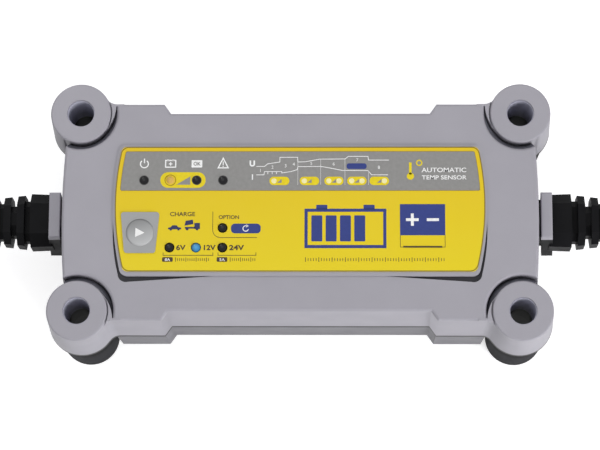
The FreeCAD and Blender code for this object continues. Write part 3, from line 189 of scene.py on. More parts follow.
def add_node(tree, kind, inputs, operation=None):
    """The outputs of a new shader node. An input is linked where a socket is given for it."""
    node = tree.nodes.new("ShaderNode" + kind)
    if operation:
        node.operation = operation
    for name, value in inputs.items():
        if isinstance(value, bpy.types.NodeSocket):
            tree.links.new(value, node.inputs[name])
        else:
            node.inputs[name].default_value = value
    return node.outputs


def object_place(tree):
    return add_node(tree, "TexCoord", {})["Object"]


def object_axes(tree):
    """The three object coordinates, each as its own socket."""
    return add_node(tree, "SeparateXYZ", {"Vector": object_place(tree)})


def object_noise(tree, scale, detail=3.0):
    """Noise that is fixed to the object, with its features 1/scale metres wide."""
    look = {"Vector": object_place(tree), "Scale": scale, "Detail": detail}
    return add_node(tree, "TexNoise", look)["Fac"]


def ramp_between(tree, source, low, high, at_low, at_high):
    """A socket that goes from at_low to at_high while the source goes from low to high."""
    span = {"Value": source, "From Min": low, "From Max": high, "To Min": at_low, "To Max": at_high}
    return add_node(tree, "MapRange", span)["Result"]


def mottled(name, base, roughness, spread, scale, metallic=0.0, specular=0.5):
    """A material whose colour varies by spread either way, in patches about 1/scale metres wide."""
    material = new_material(name, base, roughness, metallic, specular)
    tree, shader = parts_of(material)
    ramp = tree.nodes.new("ShaderNodeValToRGB")
    stops = ((NOISE_LOW, 1.0 - spread), (NOISE_HIGH, 1.0 + spread))
    for element, (position, share) in zip(ramp.color_ramp.elements, stops):
        element.position = position
        element.color = (*(channel * share for channel in base), 1.0)
    tree.links.new(object_noise(tree, scale), ramp.inputs["Fac"])
    tree.links.new(ramp.outputs["Color"], shader.inputs["Base Color"])
    return material


def scale_colour(tree, shader, *ramp):
    """Multiplies the colour that already reaches the shader by what ramp_between gives."""
    factor = ramp_between(tree, *ramp)
    present = shader.inputs["Base Color"].links[0].from_socket
    scaled = add_node(tree, "VectorMath", {0: present, "Scale": factor}, "SCALE")
    tree.links.new(scaled["Vector"], shader.inputs["Base Color"])


def vary_roughness(material, low, high, scale):
    """Rougher and smoother patches, as handling leaves them."""
    tree, shader = parts_of(material)
    level = ramp_between(tree, object_noise(tree, scale), NOISE_LOW, NOISE_HIGH, low, high)
    tree.links.new(level, shader.inputs["Roughness"])


def grain(material, scale, depth, strength):
    """A fine moulded texture that stands depth metres off the surface."""
    tree, shader = parts_of(material)
    height = object_noise(tree, scale, detail=2.0)
    bump = add_node(tree, "Bump", {"Strength": strength, "Distance": depth, "Height": height})
    tree.links.new(bump["Normal"], shader.inputs["Normal"])


def housing_plastic(name, base, specular=0.45):
    """Matte moulded plastic with a very fine spark-eroded grain."""
    material = mottled(name, base, 0.5, 0.025, 55.0, specular=specular)
    vary_roughness(material, 0.34, 0.42, 90.0)
    grain(material, 2600.0, 0.02 * MM, 0.35)
    return material


def upper_shell_plastic(base):
    """The front shell's plastic, with a painted shadow along its lower edge where the shells meet."""
    material = housing_plastic("housing_grey", base)
    tree, shader = parts_of(material)
    line_low = JOINT_Z + 1.7 * MM
    line_high = JOINT_Z + 2.0 * MM
    # Painted shadow: the colour is black up to 1.7 mm over the joint and full 0.3 mm higher, as the shade
    # under the shell's edge.
    scale_colour(tree, shader, object_axes(tree)["Z"], line_low, line_high, 0.0, 1.0)
    return material


def key_dome_plastic(base, middle):
    """The key's plastic with painted shading: darker at its top and paler towards its lower edge, as a dome
    lit from the front looks.
    """
    material = housing_plastic("key_dome_grey", base)
    tree, shader = parts_of(material)
    towards_light = (0.24, -0.97, 0.0)
    away = add_node(tree, "VectorMath", {0: object_place(tree), 1: middle}, "SUBTRACT")["Vector"]
    along = add_node(tree, "VectorMath", {0: away, 1: towards_light}, "DOT_PRODUCT")["Value"]
    # Painted shading: the colour runs from dark on the side away from the light to pale on the side towards
    # it.
    scale_colour(tree, shader, along, -KEY_RADIUS, KEY_RADIUS, 0.64, 1.52)
    return material


def moulded_rubber(name, base, low=0.42, high=0.58, specular=0.28):
    """Soft black rubber, its roughness between low and high."""
    material = mottled(name, base, 0.5, 0.14, 120.0, specular=specular)
    vary_roughness(material, low, high, 160.0)
    grain(material, 1800.0, 0.03 * MM, 0.5)
    return material


def from_ear_axis(tree, axes):
    """A socket with the distance from the nearest ear's axis, the four ears folded onto one."""
    across = {}
    for axis, middle in (("X", EAR_X), ("Y", EAR_Y)):
        folded = add_node(tree, "Math", {0: axes[axis]}, "ABSOLUTE")["Value"]
        across[axis] = add_node(tree, "Math", {0: folded, 1: middle}, "SUBTRACT")["Value"]
    offset = add_node(tree, "CombineXYZ", across)["Vector"]
    return add_node(tree, "VectorMath", {0: offset}, "LENGTH")["Value"]


def corner_rubber(base):
    """Bumper rubber: painted shade at the top of each foot, painted light in the crescents, and painted
    light on the bore walls, which are also smoother.
    """
    material = moulded_rubber("corner_rubber", base, 0.58, 0.70, 0.10)
    tree, shader = parts_of(material)
    axes = object_axes(tree)
    foot_high = JOINT_Z - 11 * MM
    # Painted shade: from 11 mm under the joint upwards the rubber is five times darker, as the shade under
    # each ear.
    scale_colour(tree, shader, axes["Z"], foot_high - 3 * MM, foot_high, 1.0, 0.2)
    crescent_low = JOINT_Z + 2 * MM
    # Painted light: from 2 mm over the joint upwards the rubber is fifty times paler, so that the crescents
    # deep in their slots look lit.
    scale_colour(tree, shader, axes["Z"], crescent_low, crescent_low + MM, 1.0, 50.0)
    radius = from_ear_axis(tree, axes)
    bore_edge = BORE_RADIUS + 0.4 * MM
    # Painted light: the bore walls are three times paler, as a glow reflected inside each hole.
    scale_colour(tree, shader, radius, BORE_RADIUS, bore_edge, 3.0, 1.0)
    roughness = ramp_between(tree, radius, BORE_RADIUS, bore_edge, 0.34, 0.64)
    tree.links.new(roughness, shader.inputs["Roughness"])
    return material


def panel_film(yellow_low, yellow_high):
    """Printed yellow film, a little deeper in colour towards the top."""
    material = new_material("panel_film", yellow_low, 0.38, specular=0.25)
    tree, shader = parts_of(material)
    mix = tree.nodes.new("ShaderNodeMix")
    mix.data_type = "RGBA"
    first_colour = mix.inputs[6]
    second_colour = mix.inputs[7]
    first_colour.default_value = (*yellow_low, 1.0)
    second_colour.default_value = (*yellow_high, 1.0)
    level = ramp_between(tree, object_axes(tree)["Y"], LABEL_LOW[1], LABEL_HIGH[1], 0.0, 1.0)
    tree.links.new(level, mix.inputs["Factor"])
    mixed_colour = mix.outputs[2]
    tree.links.new(mixed_colour, shader.inputs["Base Color"])
    vary_roughness(material, 0.34, 0.42, 140.0)
    grain(material, 3000.0, 0.01 * MM, 0.3)
    return material


def ink(name, base):
    """Screen-printed ink, slightly uneven."""
    return mottled(name, base, 0.42, 0.05, 700.0, specular=0.25)


def inks(*names):
    """Inks that an earlier step has made."""
    return [bpy.data.materials[name + "_ink"] for name in names]


def lamp_dome(name, base):
    """Glossy tinted resin of a small round lamp."""
    return mottled(name, base, 0.15, 0.10, 900.0, specular=0.26)


def lit_dome(base, middle):
    """The lamp that is on: brightest in the middle of its dome."""
    material = new_material("lit_dome", base, 0.15, specular=0.25)
    tree, shader = parts_of(material)
    distance = add_node(tree, "VectorMath", {0: object_place(tree), 1: middle}, "DISTANCE")["Value"]
    glow = ramp_between(tree, distance, 0.5 * MM, 2.0 * MM, 0.36, 0.04)
    shader.inputs["Emission Color"].default_value = (0.14, 0.55, 0.90, 1.0)
    tree.links.new(glow, shader.inputs["Emission Strength"])
    return material


def plated_metal(name, base, roughness):
    """Bright plating with faint drawn marks."""
    material = mottled(name, base, roughness, 0.05, 400.0, metallic=1.0)
    vary_roughness(material, roughness * 0.8, roughness * 1.3, 800.0)
    return material


def small_part(name, base, roughness=0.5):
    """A plain moulded or coated electronic part."""
    return mottled(name, base, roughness, 0.08, 300.0)


# Making and placing pieces

# Edges that turn by more than this stay sharp. Small round parts have coarser facets
SHARP_ANGLE = math.radians(32)
ROUND_PART_ANGLE = math.radians(50)
FLAT_ANGLE = math.radians(0.4)
WELD_DISTANCE = 0.002 * MM


def finish_piece(piece, material, body=CHARGER_BODY):
    """Gives a piece its one material and the body that it moves with."""
    piece.data.materials.clear()
    piece.data.materials.append(material)
    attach(piece, body)
    return piece


def place_object(name, data):
    """A new object in the scene."""
    made = bpy.data.objects.new(name, data)
    bpy.context.scene.collection.objects.link(made)
    return made


def to_mesh(name, bm):
    """A mesh of a bmesh, which is freed."""
    mesh = bpy.data.meshes.new(name)
    bm.to_mesh(mesh)
    bm.free()
    return mesh


def mesh_piece(name, bm, material, body=CHARGER_BODY):
    """Turns a bmesh into a piece."""
    bmesh.ops.recalc_face_normals(bm, faces=bm.faces)
    return finish_piece(place_object(name, to_mesh(name, bm)), material, body)


def dress(material, *nodes):
    """Gives nodes that stay as they are a better material."""
    for node in nodes:
        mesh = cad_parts[node].data
        mesh.materials.clear()
        mesh.materials.append(material)


def smooth_node(node, name, material, body=CHARGER_BODY, sharp=SHARP_ANGLE, edge=0.0):
    """A smooth-shaded copy of a node that stands for it, with softened edges where edge is given."""
    bm = bmesh.new()
    bm.from_mesh(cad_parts[node].data)
    bmesh.ops.remove_doubles(bm, verts=bm.verts, dist=WELD_DISTANCE)
    bmesh.ops.dissolve_limit(bm, angle_limit=FLAT_ANGLE, verts=bm.verts, edges=bm.edges)
    mesh = to_mesh(name, bm)
    mesh.shade_smooth()
    mesh.set_sharp_from_angle(angle=sharp)
    piece = place_object(name, mesh)
    if edge > 0:
        soften = piece.modifiers.new("soft edges", "BEVEL")
        soften.width = edge
        soften.segments = 3
        soften.limit_method = "ANGLE"
        soften.angle_limit = sharp
        soften.use_clamp_overlap = True
    even = piece.modifiers.new("flat faces stay flat", "WEIGHTED_NORMAL")
    even.keep_sharp = edge == 0
    finish_piece(piece, material, body)
    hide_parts(node)
    return piece


def top_middle(node):
    """The middle of the top of a node's box."""
    low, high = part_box(node)
    return ((low[0] + high[0]) / 2, (low[1] + high[1]) / 2, high[2])


# Print: flat plates and strokes of ink


def new_verts(items):
    return [item for item in items["geom"] if isinstance(item, bmesh.types.BMVert)]


def lift(bm, faces, height):
    """Thickens flat faces upwards into plates."""
    grown = bmesh.ops.extrude_face_region(bm, geom=faces)
    bmesh.ops.translate(bm, verts=new_verts(grown), vec=(0, 0, height))


def round_corners(bm, verts, radius):
    bmesh.ops.bevel(
        bm, geom=verts, offset=radius, segments=6, profile=0.5, affect="VERTICES", clamp_overlap=True
    )


def add_plate(bm, corners, z, height, radius=0.0):
    """One plate on corners given in millimetres, rounded where a radius is given."""
    verts = [bm.verts.new((x * MM, y * MM, z)) for x, y in corners]
    bmesh.ops.contextual_create(bm, geom=verts)
    if radius > 0:
        round_corners(bm, verts, radius)
    lift(bm, bm.faces[:], height)


def ink_floor(level):
    """The height at which a layer of ink starts, with level layers under it."""
    return LABEL_TOP + level * settings().print.ink_height


def plates(name, outlines, level, material, radius=0.0):
    """Several plates of one ink as one piece, on outlines in millimetres. level counts the inks under it."""
    piece = bmesh.new()
    for corners in outlines:
        one = bmesh.new()
        add_plate(one, corners, ink_floor(level), settings().print.ink_height, radius * MM)
        mesh = to_mesh("part", one)
        piece.from_mesh(mesh)
        bpy.data.meshes.remove(mesh)
    return mesh_piece(name, piece, material)


def box_corners(x_low, y_low, x_high, y_high):
    return [(x_low, y_low), (x_high, y_low), (x_high, y_high), (x_low, y_high)]


def widened(name, bm, height, width, material):
    """Raises a bmesh of edges into ribbons, which Solidify widens both ways."""
    raised = bmesh.ops.extrude_edge_only(bm, edges=bm.edges[:])
    bmesh.ops.translate(bm, verts=new_verts(raised), vec=(0, 0, height))
    piece = mesh_piece(name, bm, material)
    wall = piece.modifiers.new("stroke", "SOLIDIFY")
    wall.thickness = width
    wall.offset = 0.0
    wall.use_even_offset = True
    return piece


def strokes(name, chains, level, width, material, closed=False):
    """Lines of one width as one piece."""
    bm = bmesh.new()
    for chain in chains:
        verts = [bm.verts.new((x * MM, y * MM, ink_floor(level))) for x, y in chain]
        if closed:
            verts.append(verts[0])
        for ends in zip(verts, verts[1:]):
            bm.edges.new(ends)
    return widened(name, bm, settings().print.ink_height, width, material)


def add_arc(bm, x, y, z, radius, steps, start=0.0, sweep=math.tau):
    """A spun arc of edges, its middle and radius in millimetres; a full sweep closes it."""
    seed = bm.verts.new(((x + radius * math.cos(start)) * MM, (y + radius * math.sin(start)) * MM, z))
    centre = (x * MM, y * MM, z)
    closed = sweep >= math.tau
    bmesh.ops.spin(
        bm, geom=[seed], cent=centre, axis=(0, 0, 1), angle=sweep, steps=steps, use_merge=closed
    )


def rings(name, circles, level, width, material, segments=32, start=0.0, sweep=math.tau):
    """Round strokes, each circle given by its middle and radius."""
    bm = bmesh.new()
    for x, y, radius in circles:
        add_arc(bm, x, y, ink_floor(level), radius, segments, start, sweep)
    return widened(name, bm, settings().print.ink_height, width, material)


def discs(name, circles, level, material, segments=32):
    """Round plates, each circle given by its middle and radius."""
    bm = bmesh.new()
    for x, y, radius in circles:
        place = Matrix.Translation((x * MM, y * MM, ink_floor(level)))
        made = bmesh.ops.create_circle(
            bm, cap_ends=True, radius=radius * MM, segments=segments, matrix=place
        )
        faces = {face for vert in made["verts"] for face in vert.link_faces}
        lift(bm, list(faces), settings().print.ink_height)
    return mesh_piece(name, bm, material)


# A capital letter's share of the font's size
CAPITAL_SHARE = 0.70


def lettering(name, text, x, y, size, level, material, width=None, weight=0.0):
    """Figures or a plain word, size millimetres tall, centred on x, y and stretched to a width if given."""
    font = bpy.data.curves.new(name, "FONT")
    font.body = text
    font.align_x = "CENTER"
    font.size = size * MM / CAPITAL_SHARE
    font.offset = weight * MM
    font.extrude = settings().print.ink_height / 2
    font.resolution_u = 4
    writer = place_object(name + "_type", font)
    bpy.context.view_layer.update()
    mesh = bpy.data.meshes.new_from_object(writer)
    stretch = 1.0 if width is None else width * MM / writer.dimensions.x
    bpy.data.objects.remove(writer)
    mesh.transform(Matrix.Diagonal((stretch, 1.0, 1.0, 1.0)))
    mesh.transform(Matrix.Translation((x * MM, (y - size / 2) * MM, ink_floor(level + 0.5))))
    mesh.name = name
    return finish_piece(place_object(name, mesh), material)


def plus_corners(x, y, reach, width):
    """The twelve corners of a plus sign."""
    half = width / 2
    arm = [(half, reach), (half, half), (reach, half)]
    quarter = arm + [(px, -py) for px, py in reversed(arm)]
    return [(x + px, y + py) for px, py in quarter] + [(x - px, y + py) for px, py in reversed(quarter)]


# Panel layout, in millimetres from the frame's origin

LABEL_TOP_Y = 27.3
LABEL_BOTTOM_Y = -25.7
LABEL_TOP_X = 74.2
LABEL_MIDDLE_X = 76.85
LABEL_BOTTOM_X = 73.1
LABEL_CORNER = 2.5
BAND_TOP_Y = 25.3
BAND_BOTTOM_Y = 8.6
BAND_CORNER = 0.6
LAMP_X = (-64.9, -53.94, -42.98, -32.02)
STATUS_Y = 13.0
VOLTAGE_Y = -15.6
RANGE_Y = -20.7
SYMBOL_Y = 20.1


def side_circle():
    """The middle and radius of the bow at the film's right side."""
    low = Vector((LABEL_BOTTOM_X, LABEL_BOTTOM_Y))
    middle = Vector((LABEL_MIDDLE_X, (LABEL_TOP_Y + LABEL_BOTTOM_Y) / 2))
    high = Vector((LABEL_TOP_X, LABEL_TOP_Y))
    first = middle - low
    second = high - middle
    turn = 2 * first.cross(second)
    share = (first + second).dot(second) / turn
    centre = (low + middle) / 2 + Vector((-first.y, first.x)) * share
    return centre, (high - centre).length


def panel_outline(high_y, low_y, inset, corner):
    """A field as wide as the film, as edges: a spun arc at each side, joined above and below."""
    middle, radius = side_circle()
    radius -= inset
    start = math.asin((low_y - middle.y) / radius)
    end = math.asin((high_y - middle.y) / radius)
    bm = bmesh.new()
    add_arc(bm, middle.x, middle.y, LABEL_TOP, radius, 20, start, end - start)
    right = sorted(bm.verts, key=lambda vert: vert.co.y)
    left = new_verts(bmesh.ops.duplicate(bm, geom=bm.verts[:] + bm.edges[:]))
    bmesh.ops.scale(bm, verts=left, vec=(-1, 1, 1))
    left.sort(key=lambda vert: vert.co.y)
    bm.edges.new((right[0], left[0]))
    bm.edges.new((right[-1], left[-1]))
    round_corners(bm, [right[0], right[-1], left[0], left[-1]], corner * MM)
    return bm


class BuildStep:
    """What every step shares."""

    def execute(self, context):
        self.build()
        return {"FINISHED"}


class CHARGER_OT_shells(BuildStep, Operator):
    """Front and rear shells, cable caps and the seal in the panel's groove"""

    bl_idname = "charger.shells"
    bl_label = "Shells"

    def build(self):
        finish = settings().finish
        upper = upper_shell_plastic(finish.housing)
        # The rear shell gets a darker copy of the housing plastic: painted shade.
        lower = housing_plastic("housing_grey_lower_shaded", finish.lower_shell, 0.3)
        smooth_node("front_housing", "front_shell", upper)
        smooth_node("rear_housing", "rear_shell", lower)
        for side in ("output", "mains"):
            # The caps share the front shell's plastic, painted shadow above the joint included.
            smooth_node(side + "_gland_cap", side + "_cable_cap", upper, edge=1.1 * MM)
        seal = moulded_rubber("seal_rubber", (0.022, 0.021, 0.026))
        dress(seal, "panel_seal", "housing_seal")


class CHARGER_OT_corners(BuildStep, Operator):
    """Rubber corner bumpers"""

    bl_idname = "charger.corners"
    bl_label = "Corner bumpers"

    def build(self):
        rubber = corner_rubber(settings().finish.rubber)
        for corner in ("rear_left", "rear_right", "front_left", "front_right"):
            smooth_node("bumper_" + corner, "corner_" + corner, rubber)


class CHARGER_OT_boots(BuildStep, Operator):
    """Ribbed rubber boots where the leads leave the housing"""

    bl_idname = "charger.boots"
    bl_label = "Cable boots"

    def build(self):
        rubber = moulded_rubber("boot_rubber", settings().finish.sheath, 0.34, 0.44, 0.05)
        for side in ("output", "mains"):
            smooth_node(side + "_boot", side + "_strain_relief", rubber, edge=0.9 * MM)


class CHARGER_OT_panel_film(BuildStep, Operator):
    """Yellow film with its outline and its grey field"""

    bl_idname = "charger.panel_film"
    bl_label = "Panel film"

    def build(self):
        finish = settings().finish
        sizes = settings().print
        dress(panel_film(finish.panel_low, finish.panel_high), "front_label")
        olive = ink("outline_ink", (0.235, 0.170, 0.020))
        inset = sizes.outline_width / MM / 2
        border = panel_outline(LABEL_TOP_Y - inset, LABEL_BOTTOM_Y + inset, inset, LABEL_CORNER)
        widened("film_outline", border, sizes.ink_height, sizes.outline_width, olive)
        gap = sizes.border_gap / MM
        field = panel_outline(BAND_TOP_Y, BAND_BOTTOM_Y, gap, BAND_CORNER)
        filled = bmesh.ops.contextual_create(field, geom=field.edges[:])
        lift(field, filled["faces"], sizes.ink_height)
        mesh_piece("grey_field", field, ink("band_grey_ink", finish.band_grey))
        rim = panel_outline(BAND_TOP_Y, BAND_BOTTOM_Y, gap, BAND_CORNER)
        widened("grey_field_outline", rim, sizes.ink_height * 1.5, 0.16 * MM, olive)


class CHARGER_OT_status_print(BuildStep, Operator):
    """Symbols and pill over the four status lamps"""

    bl_idname = "charger.status_print"
    bl_label = "Status print"

    def build(self):
        finish = settings().finish
        width = settings().print.symbol_width
        white = ink("white_ink", finish.ink_white)
        yellow = ink("pill_yellow_ink", finish.panel_low)
        grey = ink("pill_grey_ink", finish.band_grey)
        power_x, charge_x, full_x, fault_x = LAMP_X
        gap = math.radians(38)
        ring = [(power_x, SYMBOL_Y - 0.1, 1.65)]
        rings("power_ring", ring, 1, width, white, 28, math.pi / 2 + gap, math.tau - 2 * gap)
        strokes("power_bar", [[(power_x, SYMBOL_Y + 0.2), (power_x, SYMBOL_Y + 2.2)]], 1, width, white)
        low = SYMBOL_Y - 1.5
        high = SYMBOL_Y + 1.4
        case = box_corners(charge_x - 2.1, low, charge_x + 2.1, high)
        strokes("battery_outline", [case], 1, width, white, True)
        middles = (charge_x - 1.1, charge_x + 1.1)
        terminals = [box_corners(x - 0.45, high, x + 0.45, high + 0.45) for x in middles]
        plates("battery_terminals", terminals, 1, white)
        plates("battery_plus", [plus_corners(charge_x, SYMBOL_Y - 0.1, 0.75, 0.42)], 1, white)
        full_case = box_corners(full_x - 2.25, low - 0.15, full_x + 2.25, high + 0.1)
        plates("full_battery", [full_case], 1, white, 0.3)
        lettering("full_battery_word", "OK", full_x, SYMBOL_Y - 0.05, 1.5, 2, grey, 3.0, 0.06)
        triangle = [(fault_x - 2.1, low - 0.3), (fault_x + 2.1, low - 0.3), (fault_x, high + 0.9)]
        strokes("fault_triangle", [triangle], 1, width, white, True)
        strokes("fault_bar", [[(fault_x, SYMBOL_Y - 0.6), (fault_x, SYMBOL_Y + 0.9)]], 1, width * 0.9, white)
        discs("fault_point", [(fault_x, SYMBOL_Y - 1.15, 0.26)], 1, white, 16)
        pill = box_corners(charge_x - 4.2, STATUS_Y - 3.25, full_x + 3.7, STATUS_Y + 3.45)
        plates("charge_pill", [pill], 1, yellow, 3.2)
        wedge_low = STATUS_Y - 1.9
        wedge = [(charge_x + 2.6, wedge_low), (full_x - 2.7, wedge_low), (full_x - 2.7, STATUS_Y + 1.6)]
        plates("charge_wedge", [wedge], 2, grey)


class CHARGER_OT_charging_curves(BuildStep, Operator):
    """Voltage and current curves of the charging steps"""

    bl_idname = "charger.charging_curves"
    bl_label = "Charging curves"

    def build(self):
        width = settings().print.curve_width
        white, yellow, grey = inks("white", "pill_yellow", "pill_grey")
        blue = ink("blue_ink", settings().finish.ink_blue)
        pale = ink("pale_ink", (0.86, 0.80, 0.42))
        start_x = -18.2
        voltage = [(start_x, 18.9), (-14.8, 18.9), (-13.5, 20.0), (-11.0, 20.4), (-8.4, 20.8), (-8.4, 22.8)]
        voltage += [(-1.0, 22.8), (-0.9, 20.8), (2.2, 20.9), (8.1, 22.0), (18.8, 22.1), (20.1, 23.2)]
        voltage += [(28.3, 23.2), (28.5, 21.6), (37.0, 21.6)]
        current = [(start_x, 15.3), (-15.0, 15.3), (-14.8, 16.7), (-7.6, 16.7), (-7.6, 16.1), (-3.8, 16.7)]
        current += [(-1.2, 17.5), (-0.9, 18.8), (8.6, 18.9), (12.0, 18.3), (17.5, 17.2), (28.3, 17.1)]
        current += [(29.8, 15.3), (36.6, 15.3)]
        strokes("charging_curves", [voltage, current], 1, width, white)
        pulses = [[(x, 15.6), (x, 16.7)] for x in (-13.4, -11.6, -9.8)]
        strokes("pulse_teeth", pulses, 1, width, white)
        divider_tops = ((-0.9, 20.8), (8.6, 22.0), (18.7, 22.1), (28.5, 17.1))
        strokes("step_dividers", [[(x, 11.0), (x, y)] for x, y in divider_tops], 1, width * 0.45, white)
        steps = [(-16.5, 17.2), (-11.5, 18.6), (-6.0, 19.2), (-2.6, 19.9)]
        steps += [(4.7, 20.2), (14.0, 20.0), (23.8, 21.7), (32.8, 18.5)]
        for count, (x, y) in enumerate(steps, 1):
            lettering(f"step_{count}", str(count), x, y, 1.35, 1, white)
        lettering("voltage_letter", "U", -19.9, 20.2, 2.3, 1, white, 2.3, 0.16)
        lettering("current_letter", "I", -19.8, 14.4, 2.3, 1, white, 0.5, 0.10)
        plates("renewal_pill", [box_corners(19.4, 17.8, 27.7, 20.2)], 1, blue, 1.0)
        pills = [(-12.7, -4.4), (-0.1, 8.0), (10.1, 18.1), (19.6, 27.7), (28.9, 37.0)]
        low = 10.9
        high = 14.5
        plates("step_pills", [box_corners(a, low, b, high) for a, b in pills], 1, yellow, 1.75)
        middle = (low + high) / 2
        glints = [(a + 1.9, middle, 1.1) for a, b in pills[:4]]
        glints += [(b - 1.9, middle, 1.1) for a, b in pills[2:]]
        discs("pill_lights", glints, 2, pale, 20)
        below = middle - 0.8
        middles = [(a + b) / 2 for a, b in pills]
        wedges = [[(x - 0.9, below), (x + 0.9, below), (x + 0.9, middle + 0.8)] for x in middles]
        plates("pill_wedges", wedges, 2, grey)


class CHARGER_OT_sensor_print(BuildStep, Operator):
    """Thermometer sign for the temperature sensor"""

    bl_idname = "charger.sensor_print"
    bl_label = "Sensor print"

    def build(self):
        white, yellow = inks("white", "pill_yellow")
        x = 45.9
        strokes("thermometer_stem", [[(x, 15.4), (x, 20.6)]], 1, 1.1 * MM, yellow)
        discs("thermometer_bulb", [(x, 14.7, 1.5)], 1, yellow)
        rings("degree_ring", [(x + 3.7, 20.4, 1.1)], 1, 0.5 * MM, yellow, 24)
        lettering("sensor_word_high", "AUTOMATIC", x + 14, 17.4, 1.9, 1, white, 18.6, 0.03)
        lettering("sensor_word_low", "TEMP SENSOR", x + 14, 14.2, 1.7, 1, white, 18.6, 0.03)


class CHARGER_OT_mode_print(BuildStep, Operator):
    """Signs, frames and figures round the mode lamps"""

    bl_idname = "charger.mode_print"
    bl_label = "Mode print"

    def build(self):
        white, blue = inks("white", "blue")
        dark = ink("dark_ink", settings().finish.ink_dark)
        left = -36.1
        low = -11.4
        bend = 3.2
        frame_line = [(left, -0.4)]
        for count in range(7):
            turn = math.radians(15 * count)
            frame_line.append((left + bend * (1 - math.cos(turn)), low + bend * (1 - math.sin(turn))))
        frame_line.append((-17.7, low))
        y = -18.9
        spans = ((-56.5, -35.9), (-33.8, -18.1))
        brackets = [[(a, y + 1.2), (a, y), (b, y), (b, y + 1.2)] for a, b in spans]
        strokes("mode_frames", [frame_line] + brackets, 0, 0.22 * MM, dark)
        plates("renewal_mode_pill", [box_corners(-28.5, -9.6, -16.2, -5.5)], 0, blue, 1.6)
        range_pills = [box_corners(x, -21.6, x + 4.4, -19.7) for x in (-56.9, -34.3)]
        plates("range_pills", range_pills, 0, dark, 0.4)
        volts = [("six_volts", "6V", -49.3, 3.9), ("twelve_volts", "12V", -37.6, 4.9)]
        volts.append(("twenty_four_volts", "24V", -26.2, 6.2))
        for name, text, x, width in volts:
            lettering(name, text, x, VOLTAGE_Y, 2.05, 0, dark, width, 0.09)
        lettering("charge_word", "CHARGE", -48.7, -1.4, 1.75, 0, dark, 10.4, 0.03)
        lettering("option_word", "OPTION", -29.4, -2.7, 1.55, 0, dark, 8.4, 0.03)
        for end, text, x, right in (("low", "8A", -54.7, -36.9), ("high", "5A", -32.1, -18.4)):
            lettering(end + "_range_amps", text, x, RANGE_Y, 1.1, 1, white, 2.2, 0.02)
            ruler(end + "_range_scale", x + 3.4, right, RANGE_Y, 1.1, 0.85, dark)
        renewal_arrow(-22.4, -7.55, white)
        navy = ink("sign_ink", (0.022, 0.026, 0.095))
        car_sign(-51.9, -8.2, navy)
        truck_sign(-44.7, -8.2, navy)


def ruler(name, start, end, y, tall, pitch, material):
    """A row of fine upright ticks, every fifth one longer."""
    ticks = []
    for count in range(int((end - start) / pitch) + 1):
        x = start + count * pitch
        reach = tall / 2 if count % 5 else tall * 0.8
        ticks.append([(x, y - reach), (x, y + reach)])
    strokes(name, ticks, 0, 0.24 * MM, material)


def renewal_arrow(x, y, material):
    """A round arrow that bites its tail."""
    rings("renewal_ring", [(x, y, 1.15)], 1, 0.34 * MM, material, 20, math.radians(60), math.radians(285))
    tip = [(x + 0.15, y + 1.75), (x + 0.15, y + 0.45), (x + 1.25, y + 1.1)]
    plates("renewal_tip", [tip], 1, material)


def car_sign(x, y, material):
    """A small car seen from its side."""
    body = [(x - 2.7, y + 0.3), (x + 2.7, y + 0.3), (x + 2.7, y + 1.0), (x + 1.5, y + 1.25)]
    body += [(x + 0.8, y + 2.0), (x - 0.9, y + 2.0), (x - 1.7, y + 1.2), (x - 2.7, y + 0.95)]
    plates("car_sign", [body], 0, material)
    discs("car_wheels", [(x - 1.6, y + 0.3, 0.5), (x + 1.6, y + 0.3, 0.5)], 1, material, 20)


def truck_sign(x, y, material):
    """A small tipper truck seen from its side, its load bed raised."""
    bed = [(x - 3.1, y + 1.9), (x + 0.6, y + 2.5), (x + 0.3, y + 4.4), (x - 2.6, y + 3.9)]
    cab = box_corners(x + 1.0, y + 0.5, x + 3.3, y + 3.0)
    chassis = box_corners(x - 2.9, y + 0.6, x + 1.2, y + 1.3)
    plates("truck_sign", [bed, cab, chassis], 0, material)
    discs("truck_wheels", [(x - 2.0, y + 0.5, 0.62), (x + 2.1, y + 0.5, 0.62)], 1, material, 20)


class CHARGER_OT_field_print(BuildStep, Operator):
    """Generic battery sign and block on the yellow field"""

    bl_idname = "charger.field_print"
    bl_label = "Field print"

    def build(self):
        white, blue, dark = inks("white", "blue", "dark")
        left = 2.6
        right = 35.2
        low = -15.2
        high = 0.2
        strokes("gauge_case", [box_corners(left, low, right, high)], 0, 1.3 * MM, blue, True)
        posts = (left + 6.5, right - 6.5)
        terminals = [box_corners(x - 2.3, high + 0.4, x + 2.3, high + 2.3) for x in posts]
        plates("gauge_terminals", terminals, 0, blue, 0.3)
        pitch = (right - left - 3.0) / 5
        starts = [left + 2.2 + count * pitch for count in range(4)]
        cells = [box_corners(x, low + 2.2, x + pitch - 1.4, high - 2.2) for x in starts]
        plates("gauge_cells", cells, 0, blue, 0.4)
        block_low = -10.4
        plates("blue_block", [box_corners(41.5, block_low, 60.2, 2.8)], 0, blue)
        block_line = [(41.6, block_low), (41.6, -15.4), (60.1, -15.4), (60.1, block_low)]
        strokes("block_frame", [block_line], 0, 0.2 * MM, dark)
        strokes("block_foot", [[(42.8, -15.3), (58.9, -15.3)]], 1, 0.7 * MM, dark)
        y = -3.8
        minus = box_corners(52.6, y - 0.6, 57.6, y + 0.6)
        plates("pole_signs", [plus_corners(46.6, y, 2.6, 1.2), minus], 1, white)
        ruler("field_scale", 2.4, 60.2, RANGE_Y, 1.2, 1.1, dark)


